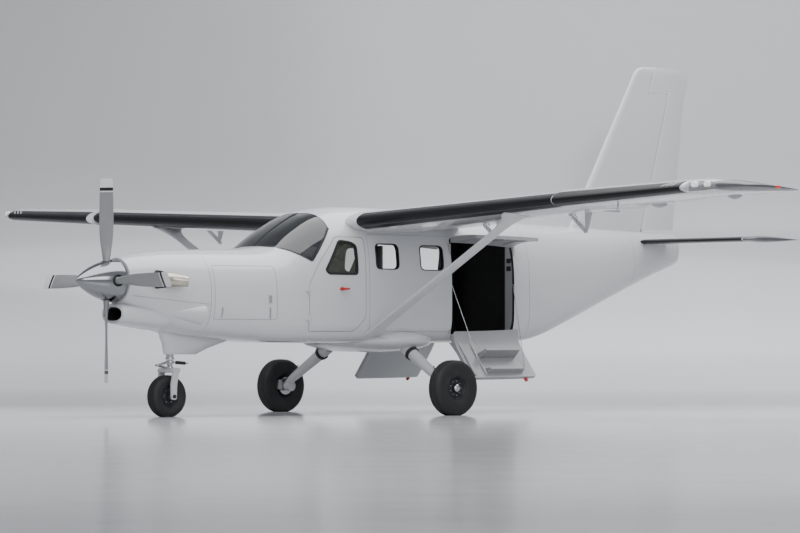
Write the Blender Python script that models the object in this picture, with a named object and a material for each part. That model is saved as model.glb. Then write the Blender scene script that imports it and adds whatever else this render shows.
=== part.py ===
"""Single-engine utility airplane, high strutted wing and fixed tricycle gear.

Metres, +Z up, nose toward -X, port wing toward -Y, on its wheels at z = 0.
Stations x are measured aft from the propeller disc while modelling. The last
step moves everything by -MID_X, so that the frame's origin is the middle of
the bounding box, on the ground.
"""

import math

import bmesh
import bpy
from mathutils import Matrix, Vector

MID_X = 4.777
GAP = 0.0003
CLEAR = 0.008

# Propeller and spinner
PROP_R = 1.22
PROP_Z = 1.648
SPINNER_R = 0.255
SPINNER_TIP = -0.466

# Fuselage stations
COWL_FRONT = 0.135
FIREWALL_X = 2.20
CABIN_END = 6.30
CONE_END = 9.70
COWL_SPLIT_Z = 1.56
ENGINE_X = 0.38
COWL_WALL = 0.045
CABIN_WALL = 0.045
CONE_WALL = 0.010
CONE_HOLLOW_END = 9.45
TAIL_SKIN = 0.012
FLOOR_Z = 0.985
CARGO_FLOOR_X = 4.05

# Wing
WING_ROOT_Y = 0.58
DIHEDRAL = 0.046
WING_ROOT_Z = 2.375
FLAP_FROM, FLAP_TO = 1.32, 4.44
AILERON_FROM, AILERON_TO = 4.492, 6.36
CONTROL_AT = 0.72
AILERON_HINGE = 0.76

# Gear
NOSE_WHEEL_X, NOSE_R, NOSE_W = 0.917, 0.258, 0.19
NOSE_LEG_X = 0.965
MAIN_WHEEL_X, MAIN_R, MAIN_W, MAIN_Y = 4.10, 0.347, 0.215, 1.657

# Cargo opening and its two-piece door
CARGO_X = (4.905, 6.015)
CARGO_Z = (1.010, 2.235)
CARGO_SPLIT_Z = 1.70
STAIR_OPEN = math.radians(141.5)
UPPER_OPEN = math.radians(86.0)

# Tail
TAIL_Z = 2.265
TAIL_LE, TAIL_TE = 8.80, 9.755
TAIL_HINGE = 9.36
TAIL_HALF = 2.30
TUBE_R = 0.018
PIN_R = 0.014
TURN_GAP = 0.0008
RUDDER_PIVOT = Vector((9.0835, 0.0, 2.44))
RUDDER_AXIS = (Vector((9.5944, 0.0, 4.20)) - RUDDER_PIVOT).normalized()

WHITE = (0.80, 0.81, 0.82, 1.0)


def clear_scene():
    for obj in list(bpy.data.objects):
        bpy.data.objects.remove(obj, do_unlink=True)


def collection(name, hidden=False):
    made = bpy.data.collections.new(name)
    bpy.context.scene.collection.children.link(made)
    made.hide_render = hidden
    return made


def material(name, colour, roughness, metallic=0.0):
    made = bpy.data.materials.new(name)
    made.use_nodes = True
    shader = made.node_tree.nodes["Principled BSDF"]
    shader.inputs["Base Color"].default_value = colour
    shader.inputs["Roughness"].default_value = roughness
    shader.inputs["Metallic"].default_value = metallic
    return made


def add(name, mesh, mat=None, cutter=False):
    """An object from a mesh, in the airplane's collection or among its cutters."""
    obj = bpy.data.objects.new(name, mesh)
    if cutter:
        CUTTERS.objects.link(obj)
        obj.hide_render = True
        obj.display_type = "WIRE"
        return obj
    PARTS.objects.link(obj)
    if mat:
        mesh.materials.clear()
        mesh.materials.append(mat)
    return obj


def mesh_from(name, bm):
    bmesh.ops.recalc_face_normals(bm, faces=bm.faces)
    mesh = bpy.data.meshes.new(name)
    bm.to_mesh(mesh)
    bm.free()
    return mesh


def loft(name, rings):
    """A closed body through rings of the same number of points, capped at both ends."""
    bm = bmesh.new()
    rows = [[bm.verts.new(point) for point in ring] for ring in rings]
    count = len(rows[0])
    for one, two in zip(rows, rows[1:]):
        for i in range(count):
            j = (i + 1) % count
            bm.faces.new((one[i], one[j], two[j]))
            bm.faces.new((one[i], two[j], two[i]))
    bm.faces.new(rows[0])
    bm.faces.new(rows[-1])
    return mesh_from(name, bm)


def prism(name, outline, low, high, axis="y"):
    """An outline extruded from low to high. It is drawn in x-z for axis y, x-y for z, y-z for x."""
    place = {
        "x": lambda a, b, c: (c, a, b),
        "y": lambda a, b, c: (a, c, b),
        "z": lambda a, b, c: (a, b, c),
    }[axis]
    return loft(name, [[place(a, b, c) for a, b in outline] for c in (low, high)])


def box(name, low, high):
    bm = bmesh.new()
    bmesh.ops.create_cube(bm, size=1.0)
    size = [b - a for a, b in zip(low, high)]
    middle = [(a + b) / 2 for a, b in zip(low, high)]
    bmesh.ops.scale(bm, vec=size, verts=bm.verts)
    bmesh.ops.translate(bm, vec=middle, verts=bm.verts)
    return mesh_from(name, bm)


def between(start, end, up=(0.0, 0.0, 1.0)):
    """A matrix whose z axis runs from start to end, with its origin at start."""
    z = (Vector(end) - Vector(start)).normalized()
    x = Vector(up).cross(z)
    if x.length < 1e-6:
        x = Vector((1.0, 0.0, 0.0))
    x.normalize()
    y = z.cross(x)
    turn = Matrix((x, y, z)).transposed().to_4x4()
    return Matrix.Translation(Vector(start)) @ turn


def rod(name, start, end, r1, r2=None, sides=18):
    """A round bar, or a cone where the radii differ."""
    length = (Vector(end) - Vector(start)).length
    bm = bmesh.new()
    bmesh.ops.create_cone(
        bm, cap_ends=True, segments=sides, radius1=r1, radius2=r2 or r1, depth=length
    )
    bmesh.ops.translate(bm, vec=(0, 0, length / 2), verts=bm.verts)
    bmesh.ops.transform(bm, matrix=between(start, end), verts=bm.verts)
    return mesh_from(name, bm)


def turned(name, profile, centre, axis, steps=40):
    """A closed profile (radius, along) turned about an axis through centre."""
    bm = bmesh.new()
    verts = [bm.verts.new((r, 0.0, a)) for r, a in profile]
    edges = [bm.edges.new((a, b)) for a, b in zip(verts, verts[1:] + verts[:1])]
    bmesh.ops.spin(
        bm,
        geom=verts + edges,
        cent=(0, 0, 0),
        axis=(0, 0, 1),
        angle=2 * math.pi,
        steps=steps,
        use_merge=True,
    )
    bmesh.ops.remove_doubles(bm, verts=bm.verts, dist=1e-5)
    matrix = between(centre, Vector(centre) + Vector(axis))
    bmesh.ops.transform(bm, matrix=matrix, verts=bm.verts)
    return mesh_from(name, bm)


def rounded(outline, radius, steps=4):
    """The outline with each corner replaced by an arc of about this radius."""
    made = []
    count = len(outline)
    for i, corner in enumerate(outline):
        c = Vector(corner)
        a = Vector(outline[i - 1]) - c
        b = Vector(outline[(i + 1) % count]) - c
        r = min(radius, a.length * 0.45, b.length * 0.45)
        p, q = c + a.normalized() * r, c + b.normalized() * r
        for k in range(steps + 1):
            t = k / steps
            made.append(tuple((1 - t) ** 2 * p + 2 * t * (1 - t) * c + t * t * q))
    return made


def boolean(obj, other, operation="DIFFERENCE"):
    modifier = obj.modifiers.new(other.name, "BOOLEAN")
    modifier.operation = operation
    modifier.solver = "EXACT"
    modifier.object = other
    return obj


def baked(obj, name=None):
    """The object's evaluated mesh as a new mesh, and the object is removed."""
    bpy.context.view_layer.update()
    graph = bpy.context.evaluated_depsgraph_get()
    mesh = bpy.data.meshes.new_from_object(obj.evaluated_get(graph))
    mesh.name = name or obj.name
    bpy.data.objects.remove(obj, do_unlink=True)
    return mesh


def joined(name, meshes, mat):
    """One object from overlapping meshes, by Boolean union."""
    obj = add(name, meshes[0], mat)
    for i, mesh in enumerate(meshes[1:]):
        boolean(obj, add(f"{name}_join_{i}", mesh, cutter=True), "UNION")
    return obj


# Body sections, nose to tail.
# Columns: x, half width, bottom z, top z, widest z, lower exponent, upper exponent.
BODY = [
    (0.14, 0.285, 1.375, 1.925, 1.650, 2.0, 2.0),
    (0.45, 0.400, 1.225, 1.985, 1.600, 2.2, 2.2),
    (0.80, 0.500, 1.040, 2.020, 1.520, 2.6, 2.4),
    (1.40, 0.640, 0.965, 2.042, 1.460, 3.4, 2.6),
    (2.00, 0.725, 0.925, 2.060, 1.420, 4.6, 2.8),
    (2.26, 0.742, 0.912, 2.095, 1.420, 5.0, 2.9),
    (2.95, 0.760, 0.902, 2.515, 1.480, 5.4, 3.0),
    (3.35, 0.762, 0.900, 2.595, 1.500, 5.4, 3.1),
    (4.00, 0.762, 0.900, 2.610, 1.500, 5.4, 3.2),
    (5.20, 0.760, 0.905, 2.570, 1.500, 5.4, 3.2),
    (6.10, 0.735, 0.915, 2.505, 1.540, 5.0, 3.0),
    (6.60, 0.690, 0.945, 2.480, 1.600, 4.4, 2.8),
    (7.30, 0.590, 1.150, 2.455, 1.700, 3.4, 2.5),
    (8.30, 0.420, 1.495, 2.430, 1.900, 2.6, 2.3),
    (9.15, 0.250, 1.790, 2.405, 2.080, 2.3, 2.2),
    (9.70, 0.120, 1.965, 2.385, 2.160, 2.2, 2.2),
]


def body_at(x):
    """The section's columns at a station, by straight interpolation."""
    for one, two in zip(BODY, BODY[1:]):
        if one[0] <= x <= two[0]:
            t = (x - one[0]) / (two[0] - one[0])
            return [a + t * (b - a) for a, b in zip(one, two)]
    return list(BODY[0] if x < BODY[0][0] else BODY[-1])


def section_ring(row, inset, count=32):
    x, half, low, high, middle, n_low, n_high = row
    points = []
    for i in range(count):
        t = 2 * math.pi * (i + 0.5) / count
        c, s = math.cos(t), math.sin(t)
        n = n_high if s > 0 else n_low
        tall = (high - middle if s > 0 else middle - low) - inset
        y = math.copysign(abs(c) ** (2 / n), c) * (half - inset)
        z = middle + math.copysign(abs(s) ** (2 / n), s) * tall
        points.append(Vector((x, y, z)))
    return points


def ring_at(x, inset=0.0):
    """The body's section at a station, on the straight lines between the table's sections."""
    for one, two in zip(BODY, BODY[1:]):
        if x <= two[0]:
            break
    t = (x - one[0]) / (two[0] - one[0])
    rings = zip(section_ring(one, inset), section_ring(two, inset))
    return [tuple(a.lerp(b, t)) for a, b in rings]


def body_loft(name, start, end, inset=0.0):
    inner = [row[0] for row in BODY if start + 0.02 < row[0] < end - 0.02]
    return loft(name, [ring_at(x, inset) for x in [start, *inner, end]])


def side_y(x, z, inset=0.0):
    """Half width of the body's skin at a station and height."""
    _, half, low, high, middle, n_low, n_high = body_at(x)
    n = n_high if z > middle else n_low
    tall = (high - middle if z > middle else middle - low) - inset
    u = min(abs(z - middle) / tall, 1.0)
    return (half - inset) * (1 - u**n) ** (1 / n)


# Side-view outlines (x, z) of what is cut through the body's side.
WINDSHIELD = [(2.10, 2.180), (2.25, 2.098), (2.62, 1.910), (2.985, 2.330), (2.985, 2.90), (2.10, 2.90)]
CREW_DOOR = [
    (2.545, 1.045), (3.28, 1.045), (3.462, 1.22), (3.462, 2.22), (3.02, 2.22), (2.71, 1.88),
    (2.545, 1.62),
]
CREW_HINGE = (2.535, 0.770)
CREW_WINDOW = [(2.80, 1.80), (2.86, 1.745), (3.335, 1.745), (3.335, 2.12), (3.24, 2.165), (3.06, 2.185)]
CABIN_WINDOWS = [(3.63, 4.02, 1.82, 2.145), (4.37, 4.77, 1.815, 2.135)]


def cut_both_sides(obj, name, outline):
    boolean(obj, add(name, prism(name, outline, -1.2, 1.2), cutter=True))


def make_fuselage():
    shell = add("cabin_shell", body_loft("cabin_shell", FIREWALL_X + GAP, CABIN_END), PAINT)
    boolean(
        shell,
        add(
            "cabin_hollow", body_loft("cabin_hollow", FIREWALL_X - 0.05, CABIN_END + 0.05, CABIN_WALL),
            cutter=True,
        ),
    )
    cut_both_sides(shell, "windshield_opening", WINDSHIELD)
    cut_both_sides(shell, "crew_door_opening", CREW_DOOR)
    for i, (x0, x1, z0, z1) in enumerate(CABIN_WINDOWS):
        corner = rounded([(x0, z0), (x1, z0), (x1, z1), (x0, z1)], 0.07)
        cut_both_sides(shell, f"cabin_window_opening_{i + 1}", corner)
    cargo = rounded(
        [
            (CARGO_X[0], CARGO_Z[0]), (CARGO_X[1], CARGO_Z[0]), (CARGO_X[1], CARGO_Z[1]),
            (CARGO_X[0], CARGO_Z[1]),
        ],
        0.06,
    )
    cut_both_sides(shell, "cargo_opening", cargo)

    cone = add("tail_cone", body_loft("tail_cone", CABIN_END + GAP, CONE_END), PAINT)
    boolean(
        cone,
        add(
            "cone_hollow", body_loft("cone_hollow", CABIN_END - 0.05, CONE_HOLLOW_END, CONE_WALL),
            cutter=True,
        ),
    )

    firewall = add(
        "firewall", loft("firewall", [ring_at(x, 0.001) for x in (FIREWALL_X - 0.03, FIREWALL_X)]),
        GREY,
    )
    bulkhead = add(
        "rear_bulkhead",
        loft(
            "rear_bulkhead",
            [ring_at(x, CABIN_WALL + 0.001) for x in (CABIN_END - 0.045, CABIN_END - 0.02)]
        ),
        LINING,
    )

    # The floor is in two pieces: one under the crew, and a clear one for cargo.
    for name, start, end in (
        ("cabin_floor", 2.24, CARGO_FLOOR_X - GAP), ("cargo_floor", CARGO_FLOOR_X, CABIN_END - 0.05),
    ):
        floor = add(name, body_loft(name, start, end, CABIN_WALL + 0.001), LINING)
        level = box(f"{name}_level", (start - 0.1, -1.2, FLOOR_Z - 0.03), (end + 0.1, 1.2, FLOOR_Z))
        boolean(floor, add(f"{name}_level", level, cutter=True), "INTERSECT")
    return shell


def make_windshield():
    glass = add("windshield", body_loft("windshield", FIREWALL_X, 3.30, 0.002), TINT)
    boolean(
        glass,
        add(
            "windshield_hollow", body_loft("windshield_hollow", FIREWALL_X - 0.1, 3.40, 0.016),
            cutter=True,
        ),
    )
    inset = [(2.10, 2.184), (2.25, 2.102), (2.6215, 1.914), (2.981, 2.3285), (2.981, 2.90), (2.10, 2.90)]
    boolean(
        glass, add("windshield_outline", prism("windshield_outline", inset, -1.2, 1.2), cutter=True),
        "INTERSECT",
    )


def shrunk(outline, by):
    """A convex outline moved in by a fixed distance."""
    centre = Vector((sum(p[0] for p in outline), sum(p[1] for p in outline))) / len(outline)
    count = len(outline)
    lines = []
    for i in range(count):
        a, b = Vector(outline[i]), Vector(outline[(i + 1) % count])
        normal = Vector((-(b - a).y, (b - a).x)).normalized()
        if normal.dot(centre - a) < 0:
            normal = -normal
        lines.append((a + normal * by, b - a))
    made = []
    for i in range(count):
        p, d = lines[i - 1]
        q, e = lines[i]
        t = ((q - p).x * e.y - (q - p).y * e.x) / (d.x * e.y - d.y * e.x)
        made.append(tuple(p + d * t))
    return made


def make_crew_doors(shell):
    for side, sign in SIDES:
        name = f"crew_door_{side}"
        door = add(name, body_loft(name, 2.4, 3.6), PAINT)
        boolean(door, add(f"{name}_hollow", body_loft(f"{name}_hollow", 2.3, 3.7, CABIN_WALL), cutter=True))
        outline = prism(f"{name}_outline", shrunk(CREW_DOOR, CLEAR), *sorted((0.2 * sign, 1.2 * sign)))
        boolean(door, add(f"{name}_outline", outline, cutter=True), "INTERSECT")
        window = prism(f"{name}_window", rounded(CREW_WINDOW, 0.05), *sorted((0.3 * sign, 1.2 * sign)))
        boolean(door, add(f"{name}_window", window, cutter=True))
        door_hinges(door, shell, side, sign)


def door_hinges(door, shell, side, sign):
    """Two hinges on the door's front line: a knuckle on the door between two on the body."""
    x, y = CREW_HINGE
    y *= sign
    for i, z in enumerate((1.20, 1.55)):
        name = f"crew_hinge_{side}_{i + 1}"
        knuckle = rod(f"{name}_a", (x, y, z - 0.02), (x, y, z + 0.02), 0.009, sides=12)
        boolean(door, add(f"{name}_a", knuckle, cutter=True), "UNION")
        strap = [
            (x, y - sign * 0.006), (x, y + sign * 0.0065), (x + 0.07, y - sign * 0.012),
            (x + 0.07, y - sign * 0.035), (x + 0.02, y - sign * 0.035),
        ]
        plate = prism(f"{name}_b", strap, z - 0.0195, z + 0.0195, "z")
        boolean(door, add(f"{name}_b", plate, cutter=True), "UNION")
        for j, (low, high) in enumerate(((z - 0.045, z - 0.02 - GAP), (z + 0.02 + GAP, z + 0.045))):
            fixed = rod(f"{name}_c{j}", (x, y, low), (x, y, high), 0.009, sides=12)
            boolean(shell, add(f"{name}_c{j}", fixed, cutter=True), "UNION")
            strap = [
                (x, y - sign * 0.050), (x, y + sign * 0.0065), (x - 0.05, y - sign * 0.014),
                (x - 0.05, y - sign * 0.060),
            ]
            plate = prism(f"{name}_d{j}", strap, low + 0.0005, high - 0.0005, "z")
            boolean(shell, add(f"{name}_d{j}", plate, cutter=True), "UNION")


def long_hinges(panel, shell, name, pivot, sign, down):
    """Hinges along a cargo panel's edge: a knuckle on the panel between two on the body."""
    _, y, z = pivot
    toward = 1 if down else -1
    for i, x in enumerate((CARGO_X[0] + 0.20, CARGO_X[1] - 0.20)):
        knuckle = rod(f"{name}_hinge_{i}a", (x - 0.03, y, z), (x + 0.03, y, z), 0.009, sides=12)
        boolean(panel, add(f"{name}_hinge_{i}a", knuckle, cutter=True), "UNION")
        strap = [
            (y + sign * 0.006, z), (y - sign * 0.006, z), (y - sign * 0.030, z - toward * 0.020),
            (y - sign * 0.030, z - toward * 0.045), (y - sign * 0.002, z - toward * 0.045),
        ]
        plate = prism(f"{name}_hinge_{i}b", strap, x - 0.0295, x + 0.0295, "x")
        boolean(panel, add(f"{name}_hinge_{i}b", plate, cutter=True), "UNION")
        for j, (low, high) in enumerate(((x - 0.06, x - 0.03 - GAP), (x + 0.03 + GAP, x + 0.06))):
            fixed = rod(f"{name}_hinge_{i}c{j}", (low, y, z), (high, y, z), 0.009, sides=12)
            boolean(shell, add(f"{name}_hinge_{i}c{j}", fixed, cutter=True), "UNION")
            strap = [
                (y + sign * 0.006, z), (y - sign * 0.006, z), (y - sign * 0.060, z + toward * 0.010),
                (y - sign * 0.110, z + toward * 0.030), (y - sign * 0.110, z + toward * 0.040),
                (y - sign * 0.020, z + toward * 0.040),
            ]
            plate = prism(f"{name}_hinge_{i}d{j}", strap, low + 0.0005, high - 0.0005, "x")
            boolean(shell, add(f"{name}_hinge_{i}d{j}", plate, cutter=True), "UNION")


def skin_panel(name, sign, x0, x1, z0, z1, wall):
    """A panel of the body's side between two stations and two heights, in its closed place."""
    panel = add(name, body_loft(name, x0 - 0.2, x1 + 0.2), PAINT)
    boolean(
        panel,
        add(f"{name}_hollow", body_loft(f"{name}_hollow", x0 - 0.3, x1 + 0.3, wall), cutter=True),
    )
    outline = prism(
        f"{name}_outline", rounded([(x0, z0), (x1, z0), (x1, z1), (x0, z1)], 0.05),
        *sorted((0.2 * sign, 1.2 * sign)),
    )
    boolean(panel, add(f"{name}_outline", outline, cutter=True), "INTERSECT")
    return panel


def hinge_turn(mesh, pivot, angle, sign):
    """Turns a closed panel outward about a fore-and-aft hinge line."""
    place = Matrix.Translation(Vector(pivot))
    mesh.transform(place @ Matrix.Rotation(angle * sign, 4, "X") @ place.inverted())


def make_cargo_doors(shell):
    for side, sign in SIDES:
        x0, x1 = CARGO_X[0] + CLEAR, CARGO_X[1] - CLEAR
        name = f"cargo_door_upper_{side}"
        panel = skin_panel(name, sign, x0, x1, CARGO_SPLIT_Z + 0.006, CARGO_Z[1] - CLEAR, 0.045)
        pivot = (0.0, sign * (side_y(5.4, CARGO_Z[1]) + 0.023), CARGO_Z[1] - 0.002)
        long_hinges(panel, shell, name, pivot, sign, True)
        mesh = baked(panel)
        hinge_turn(mesh, pivot, UPPER_OPEN, sign)
        add(name, mesh, PAINT)

        name = f"airstair_{side}"
        panel = skin_panel(name, sign, x0, x1, CARGO_Z[0] + CLEAR, CARGO_SPLIT_Z - 0.006, 0.050)
        inner = side_y(5.4, 1.35) - 0.045
        steps = []
        # Step treads: height of the closed tread, its depth into the cabin.
        for i, (z, deep) in enumerate(((1.36, 0.17), (1.60, 0.09))):
            low = (x0 + 0.30, sign * inner, z)
            high = (x1 - 0.22, sign * (inner - deep), z + 0.025)
            lo = [min(a, b) for a, b in zip(low, high)]
            hi = [max(a, b) for a, b in zip(low, high)]
            steps.append(box(f"{name}_tread_{i + 1}", lo, hi))
        for i, mesh in enumerate(steps):
            boolean(panel, add(f"{name}_tread_{i + 1}", mesh, cutter=True), "UNION")
        pivot = (0.0, sign * (side_y(5.4, CARGO_Z[0]) + 0.020), CARGO_Z[0] - 0.004)
        long_hinges(panel, shell, name, pivot, sign, False)
        mesh = baked(panel)
        hinge_turn(mesh, pivot, -STAIR_OPEN, sign)
        add(name, mesh, PAINT)


def make_cowl():
    """Upper and lower cowls over the engine, with the chin intake and the oil cooler exits."""
    chin = []
    chin_hollow = []
    # Chin duct: x, half width, middle z, half height.
    for x, half, z, tall in (
        (0.090, 0.185, 1.252, 0.085), (0.105, 0.205, 1.253, 0.112), (0.15, 0.222, 1.254, 0.124),
        (0.30, 0.262, 1.240, 0.135), (0.62, 0.330, 1.225, 0.165), (0.80, 0.36, 1.245, 0.165),
    ):
        ring = []
        ring_in = []
        for i in range(32):
            t = 2 * math.pi * (i + 0.5) / 32
            c, s = math.cos(t), math.sin(t)
            y = math.copysign(abs(c) ** 0.85, c)
            v = math.copysign(abs(s) ** 0.85, s)
            ring.append((x, y * half, z + v * tall))
            ring_in.append((x, y * (half - 0.045), z + v * (tall - 0.036)))
        chin.append(ring)
        chin_hollow.append(ring_in)
    chin_hollow.insert(0, [(p[0] - 0.06, p[1] * 1.05, p[2]) for p in chin_hollow[0]])

    for name, low, high in (("cowl_upper", COWL_SPLIT_Z, 2.3), ("cowl_lower", 0.7, COWL_SPLIT_Z - GAP)):
        cowl = add(name, body_loft(name, COWL_FRONT + 0.005, FIREWALL_X - 0.03 - GAP), PAINT)
        if name == "cowl_lower":
            boolean(cowl, add("chin", loft("chin", chin), cutter=True), "UNION")
            for side, sign in SIDES:
                scoop = oil_exit(sign)
                boolean(cowl, add(f"oil_exit_{side}", scoop, cutter=True), "UNION")
        boolean(
            cowl,
            add(
                f"{name}_hollow", body_loft(f"{name}_hollow", COWL_FRONT - 0.05, FIREWALL_X, COWL_WALL),
                cutter=True,
            ),
        )
        if name == "cowl_lower":
            boolean(cowl, add("chin_hollow", loft("chin_hollow", chin_hollow), cutter=True))
        keep = box(f"{name}_keep", (-0.2, -1.2, low), (2.5, 1.2, high))
        boolean(cowl, add(f"{name}_keep", keep, cutter=True), "INTERSECT")
        for side, sign in SIDES:
            hole = rod(f"{name}_exhaust_hole_{side}", *exhaust_line(sign), EXHAUST_R + 0.012, sides=28)
            boolean(cowl, add(f"{name}_exhaust_hole_{side}", hole, cutter=True))


def oil_exit(sign):
    """A flared scoop on the lower cowl's side, opening aft."""
    # Columns: x, reach out from the skin, bottom z, top z.
    rings = []
    for x, out, low, high in (
        (0.66, -0.02, 1.26, 1.30), (0.80, 0.012, 1.235, 1.315), (0.95, 0.040, 1.20, 1.335),
        (1.05, 0.062, 1.175, 1.35),
    ):
        base = side_y(x, 1.26) - 0.012
        skin = side_y(x, 1.26)
        ring = [
            (x, sign * (base - 0.01), low), (x, sign * (skin + out * 0.75), low + 0.02),
            (x, sign * (skin + out), (low + high) / 2), (x, sign * (skin + out * 0.75), high - 0.02),
            (x, sign * (base - 0.01), high),
        ]
        rings.append(ring)
    return loft(f"oil_exit_{sign}", rings)


EXHAUST_R = 0.095


def exhaust_line(sign):
    return (0.44, sign * 0.20, 1.665), (0.60, sign * 0.66, 1.665)


def make_exhausts():
    for side, sign in SIDES:
        rings = []
        # Columns: x, y, z, radius across, radius up, heading off the centreline.
        for x, y, z, wide, tall, heading in (
            (0.475, 0.2303, 1.665, 0.085, 0.085, 90), (0.50, 0.40, 1.665, 0.085, 0.086, 80),
            (0.54, 0.47, 1.665, 0.085, 0.088, 64), (0.59, 0.535, 1.660, 0.080, 0.084, 50),
            (0.65, 0.585, 1.652, 0.072, 0.076, 36), (0.735, 0.635, 1.640, 0.062, 0.066, 24),
        ):
            a = math.radians(heading)
            ring = []
            for i in range(24):
                t = 2 * math.pi * i / 24
                across = math.cos(t) * wide
                ring.append(
                    (
                        x - across * math.sin(a), sign * (y + across * math.cos(a)),
                        z + math.sin(t) * tall,
                    )
                )
            rings.append(ring)
        name = f"exhaust_{side}"
        pipe = add(name, loft(name, rings), STEEL)
        bore = [[(p[0] + 0.002, p[1], p[2]) for p in inset_ring(ring, 0.008)] for ring in rings[3:]]
        a = math.radians(24)
        bore.append([(p[0] + 0.05 * math.cos(a), p[1] + sign * 0.05 * math.sin(a), p[2]) for p in bore[-1]])
        boolean(pipe, add(f"{name}_bore", loft(f"{name}_bore", bore), cutter=True))


def inset_ring(ring, by):
    centre = sum((Vector(p) for p in ring), Vector()) / len(ring)
    return [tuple(Vector(p) + (centre - Vector(p)).normalized() * by) for p in ring]


def make_engine():
    block = box("engine_block", (ENGINE_X, -0.23, 1.45), (FIREWALL_X - 0.03 - GAP, 0.23, 1.82))
    add("engine_block", block, GREY)


def make_propeller():
    hub = (0.0, 0.0, PROP_Z)
    outer = []
    # Spinner: along from the tip, radius.
    for a, r in (
        (0.0, 0.012), (0.05, 0.050), (0.14, 0.105), (0.28, 0.170), (0.42, 0.218), (0.52, 0.244),
        (0.581, SPINNER_R),
    ):
        outer.append((r, a))
    inner = [(r - 0.010, a) for r, a in outer[2:-1]]
    inner = [(0.0, 0.10), *[p for p in inner], (SPINNER_R - 0.012, 0.570), (0.12, 0.570), (0.12, 0.581)]
    profile = [(0.0, 0.0), *outer, *reversed(inner)]
    spinner = turned("spinner", profile, (SPINNER_TIP, 0, PROP_Z), (1, 0, 0), 32)
    spinner = add("spinner", spinner, CHROME)
    shaft = turned(
        "shaft",
        [
            (0, -0.22), (0.10, -0.22), (0.1197, -0.10), (0.1197, 0.112), (0.06, 0.112),
            (0.06, ENGINE_X - GAP), (0.0, ENGINE_X - GAP),
        ],
        hub, (1, 0, 0), 32,
    )
    blades = [shaft]
    for i in range(4):
        turn = Matrix.Translation(Vector(hub)) @ Matrix.Rotation(
            math.radians(90 * i), 4, "X",
        ) @ Matrix.Translation(-Vector(hub))
        blade = blade_mesh(f"blade_{i + 1}")
        blade.transform(turn)
        blades.append(blade)
        hole = rod(f"blade_hole_{i + 1}", (0, 0, PROP_Z + 0.06), (0, 0, PROP_Z + 0.40), 0.082, sides=24)
        hole.transform(turn)
        boolean(spinner, add(f"blade_hole_{i + 1}", hole, cutter=True))
    joined("propeller", blades, BLADE)


# Blade, from the hub's middle: radius, chord, thickness, angle from the disc in degrees.
BLADE_TABLE = [
    (0.08, 0.086, 0.086, 44.0),
    (0.24, 0.088, 0.080, 44.0),
    (0.34, 0.112, 0.056, 42.0),
    (0.46, 0.150, 0.036, 38.0),
    (0.66, 0.182, 0.026, 32.0),
    (0.92, 0.186, 0.018, 26.0),
    (1.19, 0.178, 0.012, 22.0),
    (1.215, 0.168, 0.011, 22.0),
    (PROP_R, 0.150, 0.008, 22.0),
]


def blade_mesh(name):
    """The blade that points up; its leading edge is ahead and to starboard."""
    rings = []
    for r, chord, thick, angle in BLADE_TABLE:
        a = math.radians(angle)
        ring = []
        for i in range(14):
            t = 2 * math.pi * i / 14
            round_part = 1.0 if thick > 0.06 else 0.0
            u = math.cos(t) * chord * 0.5
            v = math.sin(t) * thick * 0.5 * (1.0 if round_part else 1.0 + 0.35 * math.cos(t))
            ring.append((-u * math.sin(a) + v * math.cos(a), u * math.cos(a) + v * math.sin(a), PROP_Z + r))
        rings.append(ring)
    return loft(name, rings)


def half_thickness(thick, u):
    return 5 * thick * (0.2969 * math.sqrt(u) - 0.1260 * u - 0.3516 * u**2 + 0.2843 * u**3 - 0.1015 * u**4)


def camber(u, droop=0.0):
    return 0.022 * (1 - (2 * u - 0.8) ** 2 / 1.44) - droop * max(0.0, 1 - u / 0.25) ** 2


def airfoil(thick, droop=0.0, start=0.0, end=1.0, count=11):
    """Points (along, up) from the trailing end over the top to the front and back below."""
    spots = [start + (end - start) * 0.5 * (1 - math.cos(math.pi * k / (count - 1))) for k in range(count)]
    least = 0.0012
    top = [(u, camber(u, droop) + max(half_thickness(thick, u), least)) for u in reversed(spots)]
    low = [
        (u, camber(u, droop) - max(half_thickness(thick, u), least))
        for u in (spots[1:] if start == 0.0 else spots)
    ]
    return top + low


def front_foil(thick, droop, hinge, gap, count=11):
    """The fixed part ahead of a hinge, with a round cove that the moving part's nose turns in."""
    middle = camber(hinge)
    tall = half_thickness(thick, hinge)
    radius = tall + gap
    lip = math.asin(tall / radius)
    ring = airfoil(thick, droop, 0.0, hinge - radius * math.cos(lip), count)
    cove = []
    for k in range(1, 5):
        t = math.pi + lip * (1 - 2 * k / 5)
        cove.append((hinge + radius * math.cos(t), middle + radius * math.sin(t)))
    return ring + cove


def rear_foil(thick, hinge, count=7):
    """The moving part behind a hinge, with a round nose about it."""
    middle = camber(hinge)
    radius = half_thickness(thick, hinge)
    ring = airfoil(thick, 0.0, hinge, 1.0, count)
    top, low = ring[:count], ring[count:]
    nose = []
    for k in range(1, 6):
        t = math.radians(90 + 30 * k)
        nose.append((hinge + radius * math.cos(t), middle + radius * math.sin(t)))
    return top + nose + low


# Wing sections: y, leading edge x, chord, thickness, droop of the nose.
WING_INNER = [
    (WING_ROOT_Y, 3.270, 1.880, 0.150, 0.0),
    (4.480, 3.180, 1.640, 0.140, 0.0),
]
WING_OUTER = [
    (4.480, 3.060, 1.760, 0.132, 0.010),
    (6.420, 3.180, 1.520, 0.120, 0.010),
]
WING_TIP = [
    (AILERON_TO + 2 * CLEAR, 3.177, 1.526, 0.1205, 0.010),
    (6.640, 3.270, 1.430, 0.105, 0.008),
    (6.780, 3.460, 1.240, 0.075, 0.004),
    (6.860, 3.760, 0.930, 0.030, 0.0),
]


def wing_z(y):
    return WING_ROOT_Z + DIHEDRAL * (y - WING_ROOT_Y)


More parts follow.
